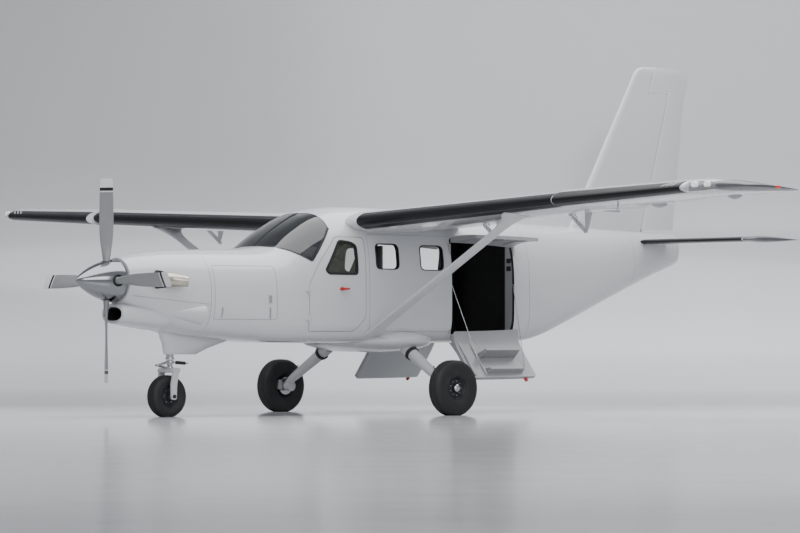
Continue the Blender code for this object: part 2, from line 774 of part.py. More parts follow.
def wing_row(table, y):
    """The wing's columns at a distance out, on the straight lines of its table."""
    for one, two in zip(table, table[1:]):
        if y <= two[0]:
            break
    t = (y - one[0]) / (two[0] - one[0])
    return [a + t * (b - a) for a, b in zip(one, two)]


def wing_ring(row, sign, start=0.0, end=1.0, count=11, kind="whole"):
    y, lead, chord, thick, droop = row
    made = []
    if kind == "front":
        points = front_foil(thick, droop, AILERON_HINGE, CLEAR / chord, count)
    elif kind == "rear":
        points = rear_foil(thick, AILERON_HINGE)
    else:
        points = airfoil(thick, droop, start, end, count)
    for u, v in points:
        x = lead + u * chord
        made.append((x, sign * y, wing_z(y) + v * chord - (u - 0.25) * chord * 0.012))
    return made


def wing_piece(name, table, sign, ys, start=0.0, end=1.0, count=11, kind="whole", proud=0.0):
    """A spanwise piece of wing. One that laps another is a little proud of it."""
    rings = []
    for y in ys:
        row = wing_row(table, y)
        row[3] += proud
        rings.append(wing_ring(row, sign, start, end, count, kind))
    return loft(name, rings)


def wing_point(table, y, u, below=0.0):
    """A point on the wing's chord line at a fraction of the chord."""
    row = wing_row(table, y)
    return (row[1] + u * row[2], y, wing_z(y) + camber(u) * row[2] - (u - 0.25) * row[2] * 0.012 - below)


FLAP_BRACKETS = (1.86, 3.50)
STRUT_TOP_Y = 3.35


def make_wings():
    for side, sign in SIDES:
        name = f"wing_{side}"
        pieces = [
            wing_piece(f"{name}_box", WING_INNER, sign, (WING_ROOT_Y, 4.48), 0.0, CONTROL_AT),
            wing_piece(
                f"{name}_root_edge", WING_INNER, sign, (WING_ROOT_Y - 0.01, FLAP_FROM - CLEAR), 0.66,
                1.0, 6, proud=0.003,
            ),
            wing_piece(f"{name}_outer", WING_OUTER, sign, (4.470, AILERON_TO + 3 * CLEAR), kind="front"),
            wing_piece(f"{name}_tip", WING_TIP, sign, [row[0] for row in WING_TIP], proud=0.001),
        ]
        wing = joined(name, pieces, PAINT)
        for i, y in enumerate(FLAP_BRACKETS):
            boolean(
                wing,
                add(f"{name}_bracket_{i + 1}", bracket(f"{name}_bracket_{i + 1}", y, sign), cutter=True),
                "UNION",
            )
        body = add(f"{name}_body_cut", body_loft(f"{name}_body_cut", 2.7, 6.5, -GAP), cutter=True)
        boolean(wing, body)
        flap_parts(side, sign)


def bracket(name, y, sign):
    """A triangular truss that hangs below the wing and carries the flap's hinge."""
    x0, _, z0 = wing_point(WING_INNER, y, 0.60, 0.03)
    x1, _, z1 = wing_point(WING_INNER, y, 0.70, 0.02)
    x, _, z = flap_pivot(y)
    outline = [
        (x0, z0), (x1, z1), (x1 + 0.004, z1 - 0.05), (x + 0.018, z + 0.012), (x + 0.016, z - 0.014),
        (x - 0.008, z - 0.020), (x - 0.026, z - 0.002),
    ]
    return prism(name, outline, sign * y - 0.014, sign * y + 0.014)


def flap_pivot(y):
    """The flap's hinge line runs straight across through this height and station."""
    return wing_point(WING_INNER, 0.5 * (FLAP_BRACKETS[0] + FLAP_BRACKETS[1]), 0.775, 0.235)


def flap_parts(side, sign):
    front = CONTROL_AT + 0.007
    pieces = [wing_piece(f"flap_{side}", WING_INNER, sign, (FLAP_FROM, FLAP_TO), front, 1.0, 8)]
    for i, y in enumerate(FLAP_BRACKETS):
        x, _, z = flap_pivot(y)
        top = wing_point(WING_INNER, y, 0.80, 0.015)
        outline = [
            (x - 0.018, z + 0.006), (x - 0.010, z - 0.016), (x + 0.012, z - 0.016),
            (x + 0.020, z + 0.004), (top[0] + 0.12, top[2]), (top[0] - 0.01, top[2]),
        ]
        pieces.append(
            prism(f"flap_arm_{side}_{i + 1}", outline, sign * (y + 0.014 + GAP), sign * (y + 0.026))
        )
    joined(f"flap_{side}", pieces, PAINT)
    pieces = [wing_piece(f"aileron_{side}", WING_OUTER, sign, (AILERON_FROM, AILERON_TO), kind="rear")]
    ends = [
        Vector(wing_point(WING_OUTER, y, AILERON_HINGE))
        for y in (AILERON_TO - 0.05, AILERON_TO + 2 * CLEAR - 0.0011)
    ]
    for end in ends:
        end.y *= sign
    pieces.append(rod(f"aileron_pin_{side}", ends[0], ends[1], 0.010, sides=12))
    joined(f"aileron_{side}", pieces, PAINT)


def strut_section(centre, chord, thick, tilt=0.0, count=20):
    """A streamlined section round a point, in a level plane."""
    made = []
    for i in range(count):
        t = 2 * math.pi * i / count
        x = math.cos(t) * chord / 2
        y = math.sin(t) * thick / 2 * (1 - 0.25 * math.cos(t))
        made.append((centre[0] + x, centre[1] + y, centre[2]))
    return made


def make_struts():
    low, high = Vector((3.60, 0.80, 1.06)), Vector((3.57, STRUT_TOP_Y, 2.42))
    for side, sign in SIDES:
        name = f"strut_{side}"
        rings = []
        # Columns: place along the strut, chord, thickness.
        for t, chord, thick in (
            (-0.05, 0.27, 0.15), (0.0, 0.25, 0.13), (0.06, 0.20, 0.085), (0.50, 0.19, 0.080),
            (0.90, 0.19, 0.080), (0.955, 0.28, 0.10), (1.0, 0.46, 0.17), (1.05, 0.54, 0.21),
        ):
            p = low.lerp(high, t)
            rings.append(strut_section((p.x, sign * p.y, p.z), chord, thick))
        strut = add(name, loft(name, rings), PAINT)
        boolean(strut, add(f"{name}_body_cut", body_loft(f"{name}_body_cut", 2.7, 5.2, -GAP), cutter=True))
        under = [wing_ring(wing_row(WING_INNER, y), sign, 0.0, CONTROL_AT) for y in (2.2, 4.2)]
        under = [[(p[0], p[1], p[2] - GAP) for p in ring] for ring in under]
        boolean(strut, add(f"{name}_wing_cut", loft(f"{name}_wing_cut", under), cutter=True))


def tail_ring(y, lead, trail, thick, kind="whole"):
    made = []
    chord = trail - lead
    hinge = (TAIL_HINGE - lead) / chord
    if kind == "front":
        points = front_foil(thick, 0.0, hinge, CLEAR / chord, 8)
    elif kind == "rear":
        points = rear_foil(thick, hinge)
    else:
        points = airfoil(thick, 0.0, count=9)
    for u, v in points:
        made.append((lead + u * chord, y, TAIL_Z + (v - camber(u)) * chord))
    return made


def tail_hollow_ring(y, thick):
    """The space inside a tailplane's skin, ahead of the elevator's cove."""
    chord = TAIL_TE - TAIL_LE
    top = []
    for x in (TAIL_LE + 0.05, TAIL_LE + 0.12, TAIL_LE + 0.25, TAIL_LE + 0.38, TAIL_HINGE - 0.09):
        top.append((x, half_thickness(thick, (x - TAIL_LE) / chord) * chord - TAIL_SKIN))
    return [(x, y, TAIL_Z + z) for x, z in top] + [(x, y, TAIL_Z - z) for x, z in reversed(top)]


def make_tail():
    thick = 0.085
    for side, sign in SIDES:
        name = f"tailplane_{side}"
        rings = [tail_ring(sign * y, TAIL_LE, TAIL_TE, thick, "front") for y in (0.03, TAIL_HALF - 0.17)]
        plane = add(name, loft(name, rings), PAINT)
        hollow = loft(
            f"{name}_hollow", [tail_hollow_ring(sign * y, thick) for y in (0.0, TAIL_HALF - 0.20)]
        )
        boolean(plane, add(f"{name}_hollow", hollow, cutter=True))
        boolean(
            plane,
            add(f"{name}_cone_cut", body_loft(f"{name}_cone_cut", 8.4, CONE_END, -GAP), cutter=True),
        )

        name = f"elevator_{side}"
        main = loft(
            f"{name}_main",
            [tail_ring(sign * y, TAIL_LE, TAIL_TE, thick, "rear") for y in (0.33, TAIL_HALF - 0.11)]
        )
        horn = loft(f"{name}_horn", [
            tail_ring(sign * (TAIL_HALF - 0.16), TAIL_LE, TAIL_TE - 0.002, thick * 0.98),
            tail_ring(sign * (TAIL_HALF - 0.04), TAIL_LE + 0.01, TAIL_TE - 0.002, thick * 0.94),
            tail_ring(sign * TAIL_HALF, TAIL_LE + 0.06, TAIL_TE - 0.02, 0.045),
        ])
        root = side_y(TAIL_HINGE - TUBE_R, TAIL_Z - TUBE_R) + TURN_GAP
        tube = rod(
            f"{name}_tube", (TAIL_HINGE, sign * 0.36, TAIL_Z), (TAIL_HINGE, sign * root, TAIL_Z),
            TUBE_R, sides=14,
        )
        joined(name, [main, horn, tube], PAINT)

    # Fin: height, leading x, trailing x, half thickness.
    fin_rows = [
        (2.30, 7.645, 8.975, 0.058), (2.436, 7.71, 9.012, 0.057), (4.20, 8.735, 9.541, 0.040),
        (4.285, 8.785, 9.566, 0.038),
    ]
    fin = add("fin_body", loft("fin_body", [fin_ring(*row) for row in fin_rows]), PAINT)
    top_rows = [
        (4.270, 8.777, 9.180, 0.038), (4.316, 8.803, 9.194, 0.037), (4.56, 8.945, 9.283, 0.034),
        (4.625, 9.02, 9.306, 0.028), (4.649, 9.16, 9.315, 0.012),
    ]
    top = add("fin_top", loft("fin_top", [fin_ring(*row) for row in top_rows]), cutter=True)
    fin.name = "fin"
    boolean(fin, top, "UNION")
    hollow = [fin_ring(z, a + 2 * TAIL_SKIN, b - TAIL_SKIN, h - TAIL_SKIN) for z, a, b, h in fin_rows[:3]]
    hollow[-1] = [(x - 0.05, y, z - 0.10) for x, y, z in hollow[-1]]
    boolean(fin, add("fin_hollow", loft("fin_hollow", hollow), cutter=True))
    boolean(fin, add("fin_cone_cut", body_loft("fin_cone_cut", 7.2, CONE_END, -GAP), cutter=True))

    # Rudder below the horn, then the horn above the fin's shelf.
    low_rows = [(2.440, 9.034, 9.690, 0.055), (4.20, 9.562, 9.905, 0.036), (4.325, 9.600, 9.940, 0.034)]
    high_rows = [
        (4.300, 9.206, 9.932, 0.036), (4.316, 9.210, 9.936, 0.036), (4.55, 9.292, 10.010, 0.033),
        (4.600, 9.312, 10.018, 0.025), (4.652, 9.335, 9.62, 0.010),
    ]
    rudder = add("rudder", loft("rudder", [rudder_ring(*row) for row in low_rows]), PAINT)
    boolean(
        rudder,
        add("rudder_horn", loft("rudder_horn", [rudder_ring(*row) for row in high_rows]), cutter=True),
        "UNION",
    )
    # The pin ends square, with its lowest edge just clear of the cone's top.
    foot_z = body_at(RUDDER_PIVOT.x - 0.01)[3] + TURN_GAP + PIN_R * RUDDER_AXIS.x
    foot = RUDDER_PIVOT + RUDDER_AXIS * ((foot_z - RUDDER_PIVOT.z) / RUDDER_AXIS.z)
    pin = rod("rudder_pin", RUDDER_PIVOT + RUDDER_AXIS * 0.05, foot, PIN_R, sides=14)
    boolean(rudder, add("rudder_pin", pin, cutter=True), "UNION")


def fin_ring(z, lead, trail, half):
    """A fin section: round nose, flat sides, square back."""
    made = []
    for i in range(9):
        t = math.pi * (i / 8 - 0.5)
        made.append((lead + half * 2.2 * (1 - math.cos(t)), math.sin(t) * half, z))
    made += [(trail, half * 0.9, z), (trail, -half * 0.9, z)]
    return made


def rudder_ring(z, lead, trail, half):
    made = []
    for i in range(7):
        t = math.pi * (i / 6 - 0.5)
        made.append((lead + half * 0.9 * (1 - math.cos(t)), math.sin(t) * half * 0.9, z))
    made += [(trail, 0.004, z), (trail, -0.004, z)]
    return made


def tyre_profile(radius, width, rim):
    """A tyre's section, (radius, along), bead to bead over the tread."""
    w = width / 2
    side = [
        (rim, w * 0.66), ((rim + radius) / 2, w), (radius - 0.045, w * 0.95),
        (radius - 0.010, w * 0.60), (radius, w * 0.22),
    ]
    return [(r, -a) for r, a in side] + [(r, a) for r, a in reversed(side)]


def hub_profile(rim, width, bore):
    w = width / 2
    return [
        (bore, -w * 0.70), (bore + 0.03, -w * 0.66), (rim - 0.025, -w * 0.36), (rim - 0.0004, -w * 0.70),
        (rim - 0.0004, w * 0.70), (rim - 0.025, w * 0.36), (bore + 0.03, w * 0.66), (bore, w * 0.70),
    ]


def make_wheels():
    nose = (NOSE_WHEEL_X, 0.0, NOSE_R)
    add("nose_tyre", turned("nose_tyre", tyre_profile(NOSE_R, NOSE_W, 0.115), nose, (0, 1, 0), 30), TYRE)
    add("nose_hub", turned("nose_hub", hub_profile(0.115, NOSE_W, 0.0185), nose, (0, 1, 0), 30), DARK)
    for side, sign in SIDES:
        at = (MAIN_WHEEL_X, sign * MAIN_Y, MAIN_R)
        add(
            f"main_tyre_{side}",
            turned("main_tyre", tyre_profile(MAIN_R, MAIN_W, 0.135), at, (0, 1, 0), 30), TYRE,
        )
        add(
            f"main_hub_{side}",
            turned("main_hub", hub_profile(0.135, MAIN_W, 0.0285), at, (0, 1, 0), 30), DARK,
        )


def make_nose_gear():
    fairing = []
    # Nose fairing: z, front x, rear x, half width.
    for z, front, rear, half in (
        (0.765, 0.880, 1.37, 0.085), (0.79, 0.872, 1.42, 0.100), (0.88, 0.855, 1.68, 0.125),
        (0.96, 0.82, 1.95, 0.135), (1.10, 0.78, 2.15, 0.14),
    ):
        ring = []
        length = rear - front
        for i in range(20):
            t = 2 * math.pi * i / 20
            u = 0.5 - 0.5 * math.cos(t)
            wide = math.sin(t) * half * (1.15 - 0.5 * u)
            ring.append((front + u * length, wide, z))
        fairing.append(ring)
    obj = add("nose_gear_fairing", loft("nose_gear_fairing", fairing), PAINT)
    boolean(obj, add("fairing_body_cut", body_loft("fairing_body_cut", COWL_FRONT, 3.0, -GAP), cutter=True))
    bore = rod("fairing_bore", (NOSE_LEG_X, 0, 0.70), (NOSE_LEG_X, 0, 0.93), 0.056)
    boolean(obj, add("fairing_bore", bore, cutter=True))

    leg_x = NOSE_LEG_X
    barrel = [
        rod("barrel", (leg_x, 0, 0.705), (leg_x, 0, 0.928), 0.048),
        rod("collar", (leg_x, 0, 0.700), (leg_x, 0, 0.722), 0.055),
    ]
    joined("nose_leg", barrel, STEEL)

    # Fork: crown, two blades, torque links ahead, and the steering damper aft.
    parts = [
        rod("fork_stem", (leg_x, 0, 0.560), (leg_x, 0, 0.6995), 0.036),
        box("fork_crown", (leg_x - 0.075, -0.152, 0.545), (leg_x + 0.045, 0.152, 0.600)),
        box("link_upper", (leg_x - 0.19, -0.030, 0.655), (leg_x - 0.02, 0.030, 0.678)),
        box("link_front", (leg_x - 0.21, -0.024, 0.60), (leg_x - 0.175, 0.024, 0.678)),
        box("link_lower", (leg_x - 0.21, -0.030, 0.580), (leg_x - 0.05, 0.030, 0.603)),
        rod("damper", (leg_x + 0.02, 0.0, 0.668), (leg_x + 0.25, 0.0, 0.655), 0.020, sides=16),
    ]
    for sign in (-1, 1):
        outline = rounded(
            [
                (NOSE_WHEEL_X - 0.042, 0.222), (NOSE_WHEEL_X + 0.042, 0.222), (leg_x + 0.040, 0.599),
                (leg_x - 0.050, 0.599),
            ],
            0.03,
        )
        parts.append(prism(f"fork_blade_{sign}", outline, *sorted((sign * 0.122, sign * 0.150))))
    parts.append(
        rod("nose_axle", (NOSE_WHEEL_X, -0.160, NOSE_R), (NOSE_WHEEL_X, 0.160, NOSE_R), 0.018, sides=20)
    )
    joined("nose_fork", parts, STEEL)


def make_main_gear():
    rings = []
    # Belly fairing: x, half width, bottom z, top z.
    for x, half, low, high in (
        (3.42, 0.30, 0.885, 0.98), (3.62, 0.66, 0.840, 1.02), (3.86, 0.86, 0.800, 1.06),
        (4.14, 0.93, 0.785, 1.09), (4.42, 0.86, 0.800, 1.06), (4.68, 0.62, 0.845, 1.02),
        (4.88, 0.28, 0.885, 0.98),
    ):
        ring = []
        for i in range(32):
            t = 2 * math.pi * (i + 0.5) / 32
            c, s = math.cos(t), math.sin(t)
            y = math.copysign(abs(c) ** 0.8, c) * half
            z = (low + high) / 2 + math.copysign(abs(s) ** 0.8, s) * (high - low) / 2
            ring.append((x, y, z))
        rings.append(ring)
    fairing = add("belly_fairing", loft("belly_fairing", rings), PAINT)
    boolean(fairing, add("belly_body_cut", body_loft("belly_body_cut", 2.7, 6.0, -GAP), cutter=True))
    for side, sign in SIDES:
        inner, outer = (4.14, sign * 0.60, 0.93), (MAIN_WHEEL_X, sign * 1.50, MAIN_R + 0.055)
        name = f"main_leg_{side}"
        leg = rod(f"{name}_tube", inner, outer, 0.082, 0.052, 28)
        axle = rod(
            f"{name}_axle", (MAIN_WHEEL_X, sign * 1.44, MAIN_R),
            (MAIN_WHEEL_X, sign * (MAIN_Y + 0.085), MAIN_R), 0.028, sides=24,
        )
        foot = rod(
            f"{name}_foot", (MAIN_WHEEL_X, sign * 1.435, MAIN_R), (MAIN_WHEEL_X, sign * 1.535, MAIN_R),
            0.066, sides=28,
        )
        obj = joined(name, [leg, axle, foot], PAINT)
        grown = loft(f"{name}_fairing_cut", [grow_ring(ring, 0.002) for ring in rings])
        boolean(obj, add(f"{name}_fairing_cut", grown, cutter=True))
        boolean(obj, add(f"{name}_body_cut", body_loft(f"{name}_body_cut", 2.7, 6.0, -GAP), cutter=True))


def grow_ring(ring, by):
    centre = sum((Vector(p) for p in ring), Vector()) / len(ring)
    return [tuple(Vector(p) + (Vector(p) - centre).normalized() * by) for p in ring]


def make_cabin():
    panel = [(2.62, 1.60), (2.78, 1.60), (2.80, 1.88), (2.74, 1.93), (2.62, 1.93)]
    add("instrument_panel", prism("instrument_panel", panel, -0.60, 0.60), DARK)
    for side, sign in SIDES:
        y = sign * 0.34
        cushion = box("seat_base", (3.22, y - 0.22, 1.28), (3.70, y + 0.22, 1.40))
        back = prism(
            "seat_back", [(3.62, 1.33), (3.74, 1.33), (3.88, 1.98), (3.78, 2.00)], y - 0.21, y + 0.21,
        )
        rest = prism(
            "seat_head", [(3.79, 1.97), (3.87, 1.96), (3.91, 2.16), (3.84, 2.17)], y - 0.13, y + 0.13,
        )
        legs = box("seat_legs", (3.30, y - 0.17, FLOOR_Z + GAP), (3.62, y + 0.17, 1.30))
        joined(f"seat_{side}", [cushion, back, rest, legs], FABRIC)


def centre_on_frame():
    for obj in bpy.data.objects:
        obj.location.x -= MID_X


clear_scene()
PARTS = collection("utility_airplane")
CUTTERS = collection("cutters", hidden=True)
SIDES = (("left", -1), ("right", 1))
PAINT = material("white_paint", WHITE, 0.22)
GREY = material("grey_metal", (0.35, 0.36, 0.37, 1), 0.5, 0.6)
STEEL = material("bright_steel", (0.62, 0.61, 0.58, 1), 0.3, 0.9)
CHROME = material("polished_spinner", (0.75, 0.76, 0.78, 1), 0.08, 1.0)
BLADE = material("blade_grey", (0.30, 0.31, 0.32, 1), 0.45)
TINT = material("windshield_tint", (0.03, 0.035, 0.04, 1), 0.05)
TYRE = material("tyre_rubber", (0.02, 0.02, 0.022, 1), 0.8)
DARK = material("dark_parts", (0.03, 0.03, 0.033, 1), 0.5)
LINING = material("cabin_lining", (0.10, 0.10, 0.105, 1), 0.8)
FABRIC = material("seat_cloth", (0.20, 0.19, 0.15, 1), 0.9)

shell = make_fuselage()
make_windshield()
make_crew_doors(shell)
make_cargo_doors(shell)
make_cowl()
make_exhausts()
make_engine()
make_propeller()
make_wings()
make_struts()
make_tail()
make_wheels()
make_nose_gear()
make_main_gear()
make_cabin()
centre_on_frame()
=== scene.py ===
"""Single-engine utility airplane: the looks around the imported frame, laid out as an add-on."""

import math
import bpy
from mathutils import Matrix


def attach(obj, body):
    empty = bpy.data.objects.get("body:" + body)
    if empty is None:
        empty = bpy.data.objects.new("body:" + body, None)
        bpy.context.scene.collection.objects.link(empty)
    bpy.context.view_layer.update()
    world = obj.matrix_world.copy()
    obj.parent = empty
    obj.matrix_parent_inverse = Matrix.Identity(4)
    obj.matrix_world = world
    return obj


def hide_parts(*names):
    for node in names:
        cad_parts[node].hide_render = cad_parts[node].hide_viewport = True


bl_info = {
    "name": "Utility Airplane",
    "blender": (4, 5, 0),
    "version": (1, 0, 0),
    "location": "View3D > Sidebar > Airplane",
    "description": "Builds the visible pieces of a strut-braced utility airplane on its frame",
    "category": "Object",
}

import bmesh
import bpy
from mathutils import Matrix, Vector

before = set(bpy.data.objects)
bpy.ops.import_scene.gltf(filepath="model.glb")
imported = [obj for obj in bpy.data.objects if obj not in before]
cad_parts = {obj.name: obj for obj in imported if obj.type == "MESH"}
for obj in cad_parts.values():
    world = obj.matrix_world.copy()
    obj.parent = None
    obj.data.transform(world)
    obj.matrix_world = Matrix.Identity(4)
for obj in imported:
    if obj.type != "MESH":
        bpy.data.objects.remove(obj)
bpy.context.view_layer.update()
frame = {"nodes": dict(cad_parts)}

MID_X = 4.777

# Stations below are measured aft from the propeller disc; place() moves them to the frame.
PROP_Z = 1.648
TAIL_Z = 2.265
MAIN_WHEEL = (4.10, 1.657, 0.347)
NOSE_WHEEL = (0.917, 0.0, 0.258)
NOSE_LEG_X = 0.965
SIDES = (("left", -1), ("right", 1))

# Body sections: x, half width, bottom z, top z, widest z, lower exponent, upper exponent.
SECTIONS = [
    (0.14, 0.285, 1.375, 1.925, 1.650, 2.0, 2.0),
    (0.28, 0.345, 1.300, 1.958, 1.630, 2.1, 2.1),
    (0.45, 0.400, 1.225, 1.985, 1.600, 2.2, 2.2),
    (0.80, 0.500, 1.045, 2.022, 1.520, 2.6, 2.4),
    (1.40, 0.640, 0.965, 2.045, 1.460, 3.4, 2.6),
    (2.00, 0.725, 0.925, 2.062, 1.420, 4.6, 2.8),
    (2.26, 0.742, 0.912, 2.098, 1.420, 5.0, 2.9),
    (2.26, 0.742, 0.912, 2.098, 1.420, 5.0, 2.9),
    (2.45, 0.748, 0.909, 2.245, 1.437, 5.1, 2.9),
    (2.70, 0.754, 0.906, 2.395, 1.459, 5.2, 3.0),
    (2.95, 0.760, 0.902, 2.515, 1.480, 5.4, 3.0),
    (3.35, 0.762, 0.900, 2.598, 1.500, 5.4, 3.1),
    (4.00, 0.762, 0.900, 2.612, 1.500, 5.4, 3.2),
    (5.20, 0.760, 0.905, 2.572, 1.500, 5.4, 3.2),
    (6.10, 0.735, 0.915, 2.508, 1.540, 5.0, 3.0),
    (6.60, 0.690, 0.945, 2.482, 1.600, 4.4, 2.8),
    (7.30, 0.590, 1.150, 2.457, 1.700, 3.4, 2.5),
    (8.30, 0.420, 1.495, 2.432, 1.900, 2.6, 2.3),
    (9.15, 0.250, 1.790, 2.407, 2.080, 2.3, 2.2),
    (9.62, 0.145, 1.945, 2.388, 2.155, 2.2, 2.2),
    (9.70, 0.115, 1.975, 2.380, 2.165, 2.2, 2.2),
]

WINDSHIELD = [(2.05, 2.205), (2.25, 2.098), (2.62, 1.910), (2.985, 2.330), (2.985, 2.95), (2.05, 2.95)]
CREW_DOOR = [
    (2.545, 1.045), (3.28, 1.045), (3.462, 1.22), (3.462, 2.22), (3.02, 2.22), (2.71, 1.88),
    (2.545, 1.62),
]
CREW_WINDOW = [(2.80, 1.80), (2.86, 1.745), (3.335, 1.745), (3.335, 2.12), (3.24, 2.165), (3.06, 2.185)]
CABIN_WINDOWS = [(3.63, 4.02, 1.82, 2.145), (4.37, 4.77, 1.815, 2.135)]
CARGO_X = (4.905, 6.015)
CARGO_Z = (1.010, 2.235)
CARGO_SPLIT = 1.70
CLEAR = 0.008
STAIR_OPEN = math.radians(141.5)
UPPER_OPEN = math.radians(86.0)
CENTRE_POST = [(-0.011, -0.002), (-0.008, 0.006), (0.008, 0.006), (0.011, -0.002), (0.011, -0.022), (-0.011, -0.022)]
UPPER_DOOR_PIVOT = (0.6921, 2.233)
STAIR_PIVOT = (0.7116, 1.006)

# The camera stands low and far off, with a long lens: spot, turns in radians, focal length in pixels.
CAMERA_SPOT = (-27.095, -35.673, 0.925)
CAMERA_YAW = 0.728
CAMERA_PITCH = 0.020
FOCAL_PIXELS = 3738.0
PICTURE_WIDTH = 800.0
SENSOR_WIDTH = 36.0


# Finishes.


def material(
    name, colour, rough, metal=0.0, coat=0.0, vary=0.04, scale=6.0, bump=0.0, bump_scale=180.0,
    wear=None, rough_vary=0.08,
):
    """A Principled surface with cloudy colour, uneven roughness, fine bump and, where given, worn patches."""
    mat = bpy.data.materials.new(name)
    mat.use_nodes = True
    nodes, links = mat.node_tree.nodes, mat.node_tree.links
    shader = nodes["Principled BSDF"]
    place = nodes.new("ShaderNodeTexCoord")
    cloud = nodes.new("ShaderNodeTexNoise")
    cloud.inputs["Scale"].default_value = scale
    cloud.inputs["Detail"].default_value = 6.0
    links.new(place.outputs["Object"], cloud.inputs["Vector"])
    ramp = nodes.new("ShaderNodeValToRGB")
    ramp.color_ramp.elements[0].position = 0.30
    ramp.color_ramp.elements[1].position = 0.72
    low = [max(0.0, c * (1 - vary)) for c in colour]
    high = [min(1.0, c * (1 + vary)) for c in colour]
    ramp.color_ramp.elements[0].color = (*low, 1)
    ramp.color_ramp.elements[1].color = (*high, 1)
    links.new(cloud.outputs["Fac"], ramp.inputs["Fac"])
    base = ramp.outputs["Color"]
    if wear:
        spots = nodes.new("ShaderNodeTexNoise")
        spots.inputs["Scale"].default_value = scale * 4.5
        spots.inputs["Detail"].default_value = 9.0
        spots.inputs["Roughness"].default_value = 0.7
        links.new(place.outputs["Object"], spots.inputs["Vector"])
        edge = nodes.new("ShaderNodeMapRange")
        edge.inputs["From Min"].default_value = 0.60
        edge.inputs["From Max"].default_value = 0.72
        links.new(spots.outputs["Fac"], edge.inputs["Value"])
        mix = nodes.new("ShaderNodeMix")
        mix.data_type = "RGBA"
        mix.inputs["B"].default_value = (*wear, 1)
        links.new(edge.outputs["Result"], mix.inputs["Factor"])
        links.new(base, mix.inputs["A"])
        base = mix.outputs["Result"]
    links.new(base, shader.inputs["Base Color"])
    shader.inputs["Metallic"].default_value = metal
    shader.inputs["Coat Weight"].default_value = coat
    shader.inputs["Coat Roughness"].default_value = 0.06
    grain = nodes.new("ShaderNodeTexNoise")
    grain.inputs["Scale"].default_value = scale * 7
    grain.inputs["Detail"].default_value = 5.0
    links.new(place.outputs["Object"], grain.inputs["Vector"])
    spread = nodes.new("ShaderNodeMapRange")
    spread.inputs["To Min"].default_value = max(0.02, rough - rough_vary)
    spread.inputs["To Max"].default_value = min(1.0, rough + rough_vary)
    links.new(grain.outputs["Fac"], spread.inputs["Value"])
    links.new(spread.outputs["Result"], shader.inputs["Roughness"])
    if bump:
        fine = nodes.new("ShaderNodeTexNoise")
        fine.inputs["Scale"].default_value = bump_scale
        fine.inputs["Detail"].default_value = 3.0
        links.new(place.outputs["Object"], fine.inputs["Vector"])
        raised = nodes.new("ShaderNodeBump")
        raised.inputs["Strength"].default_value = bump
        raised.inputs["Distance"].default_value = 0.002
        links.new(fine.outputs["Fac"], raised.inputs["Height"])
        links.new(raised.outputs["Normal"], shader.inputs["Normal"])
    return mat


def glass_material(name, colour, alpha, rough=0.03):
    """Tinted acrylic that stays see-through without caustics."""
    mat = material(name, colour, rough, coat=1.0, vary=0.10, scale=2.0, rough_vary=0.015)
    shader = mat.node_tree.nodes["Principled BSDF"]
    shader.inputs["Alpha"].default_value = alpha
    shader.inputs["IOR"].default_value = 1.49
    return mat


def lamp_material(name, colour, strength):
    mat = material(name, colour, 0.1, coat=1.0)
    shader = mat.node_tree.nodes["Principled BSDF"]
    shader.inputs["Emission Color"].default_value = (*colour, 1)
    shader.inputs["Emission Strength"].default_value = strength
    return mat


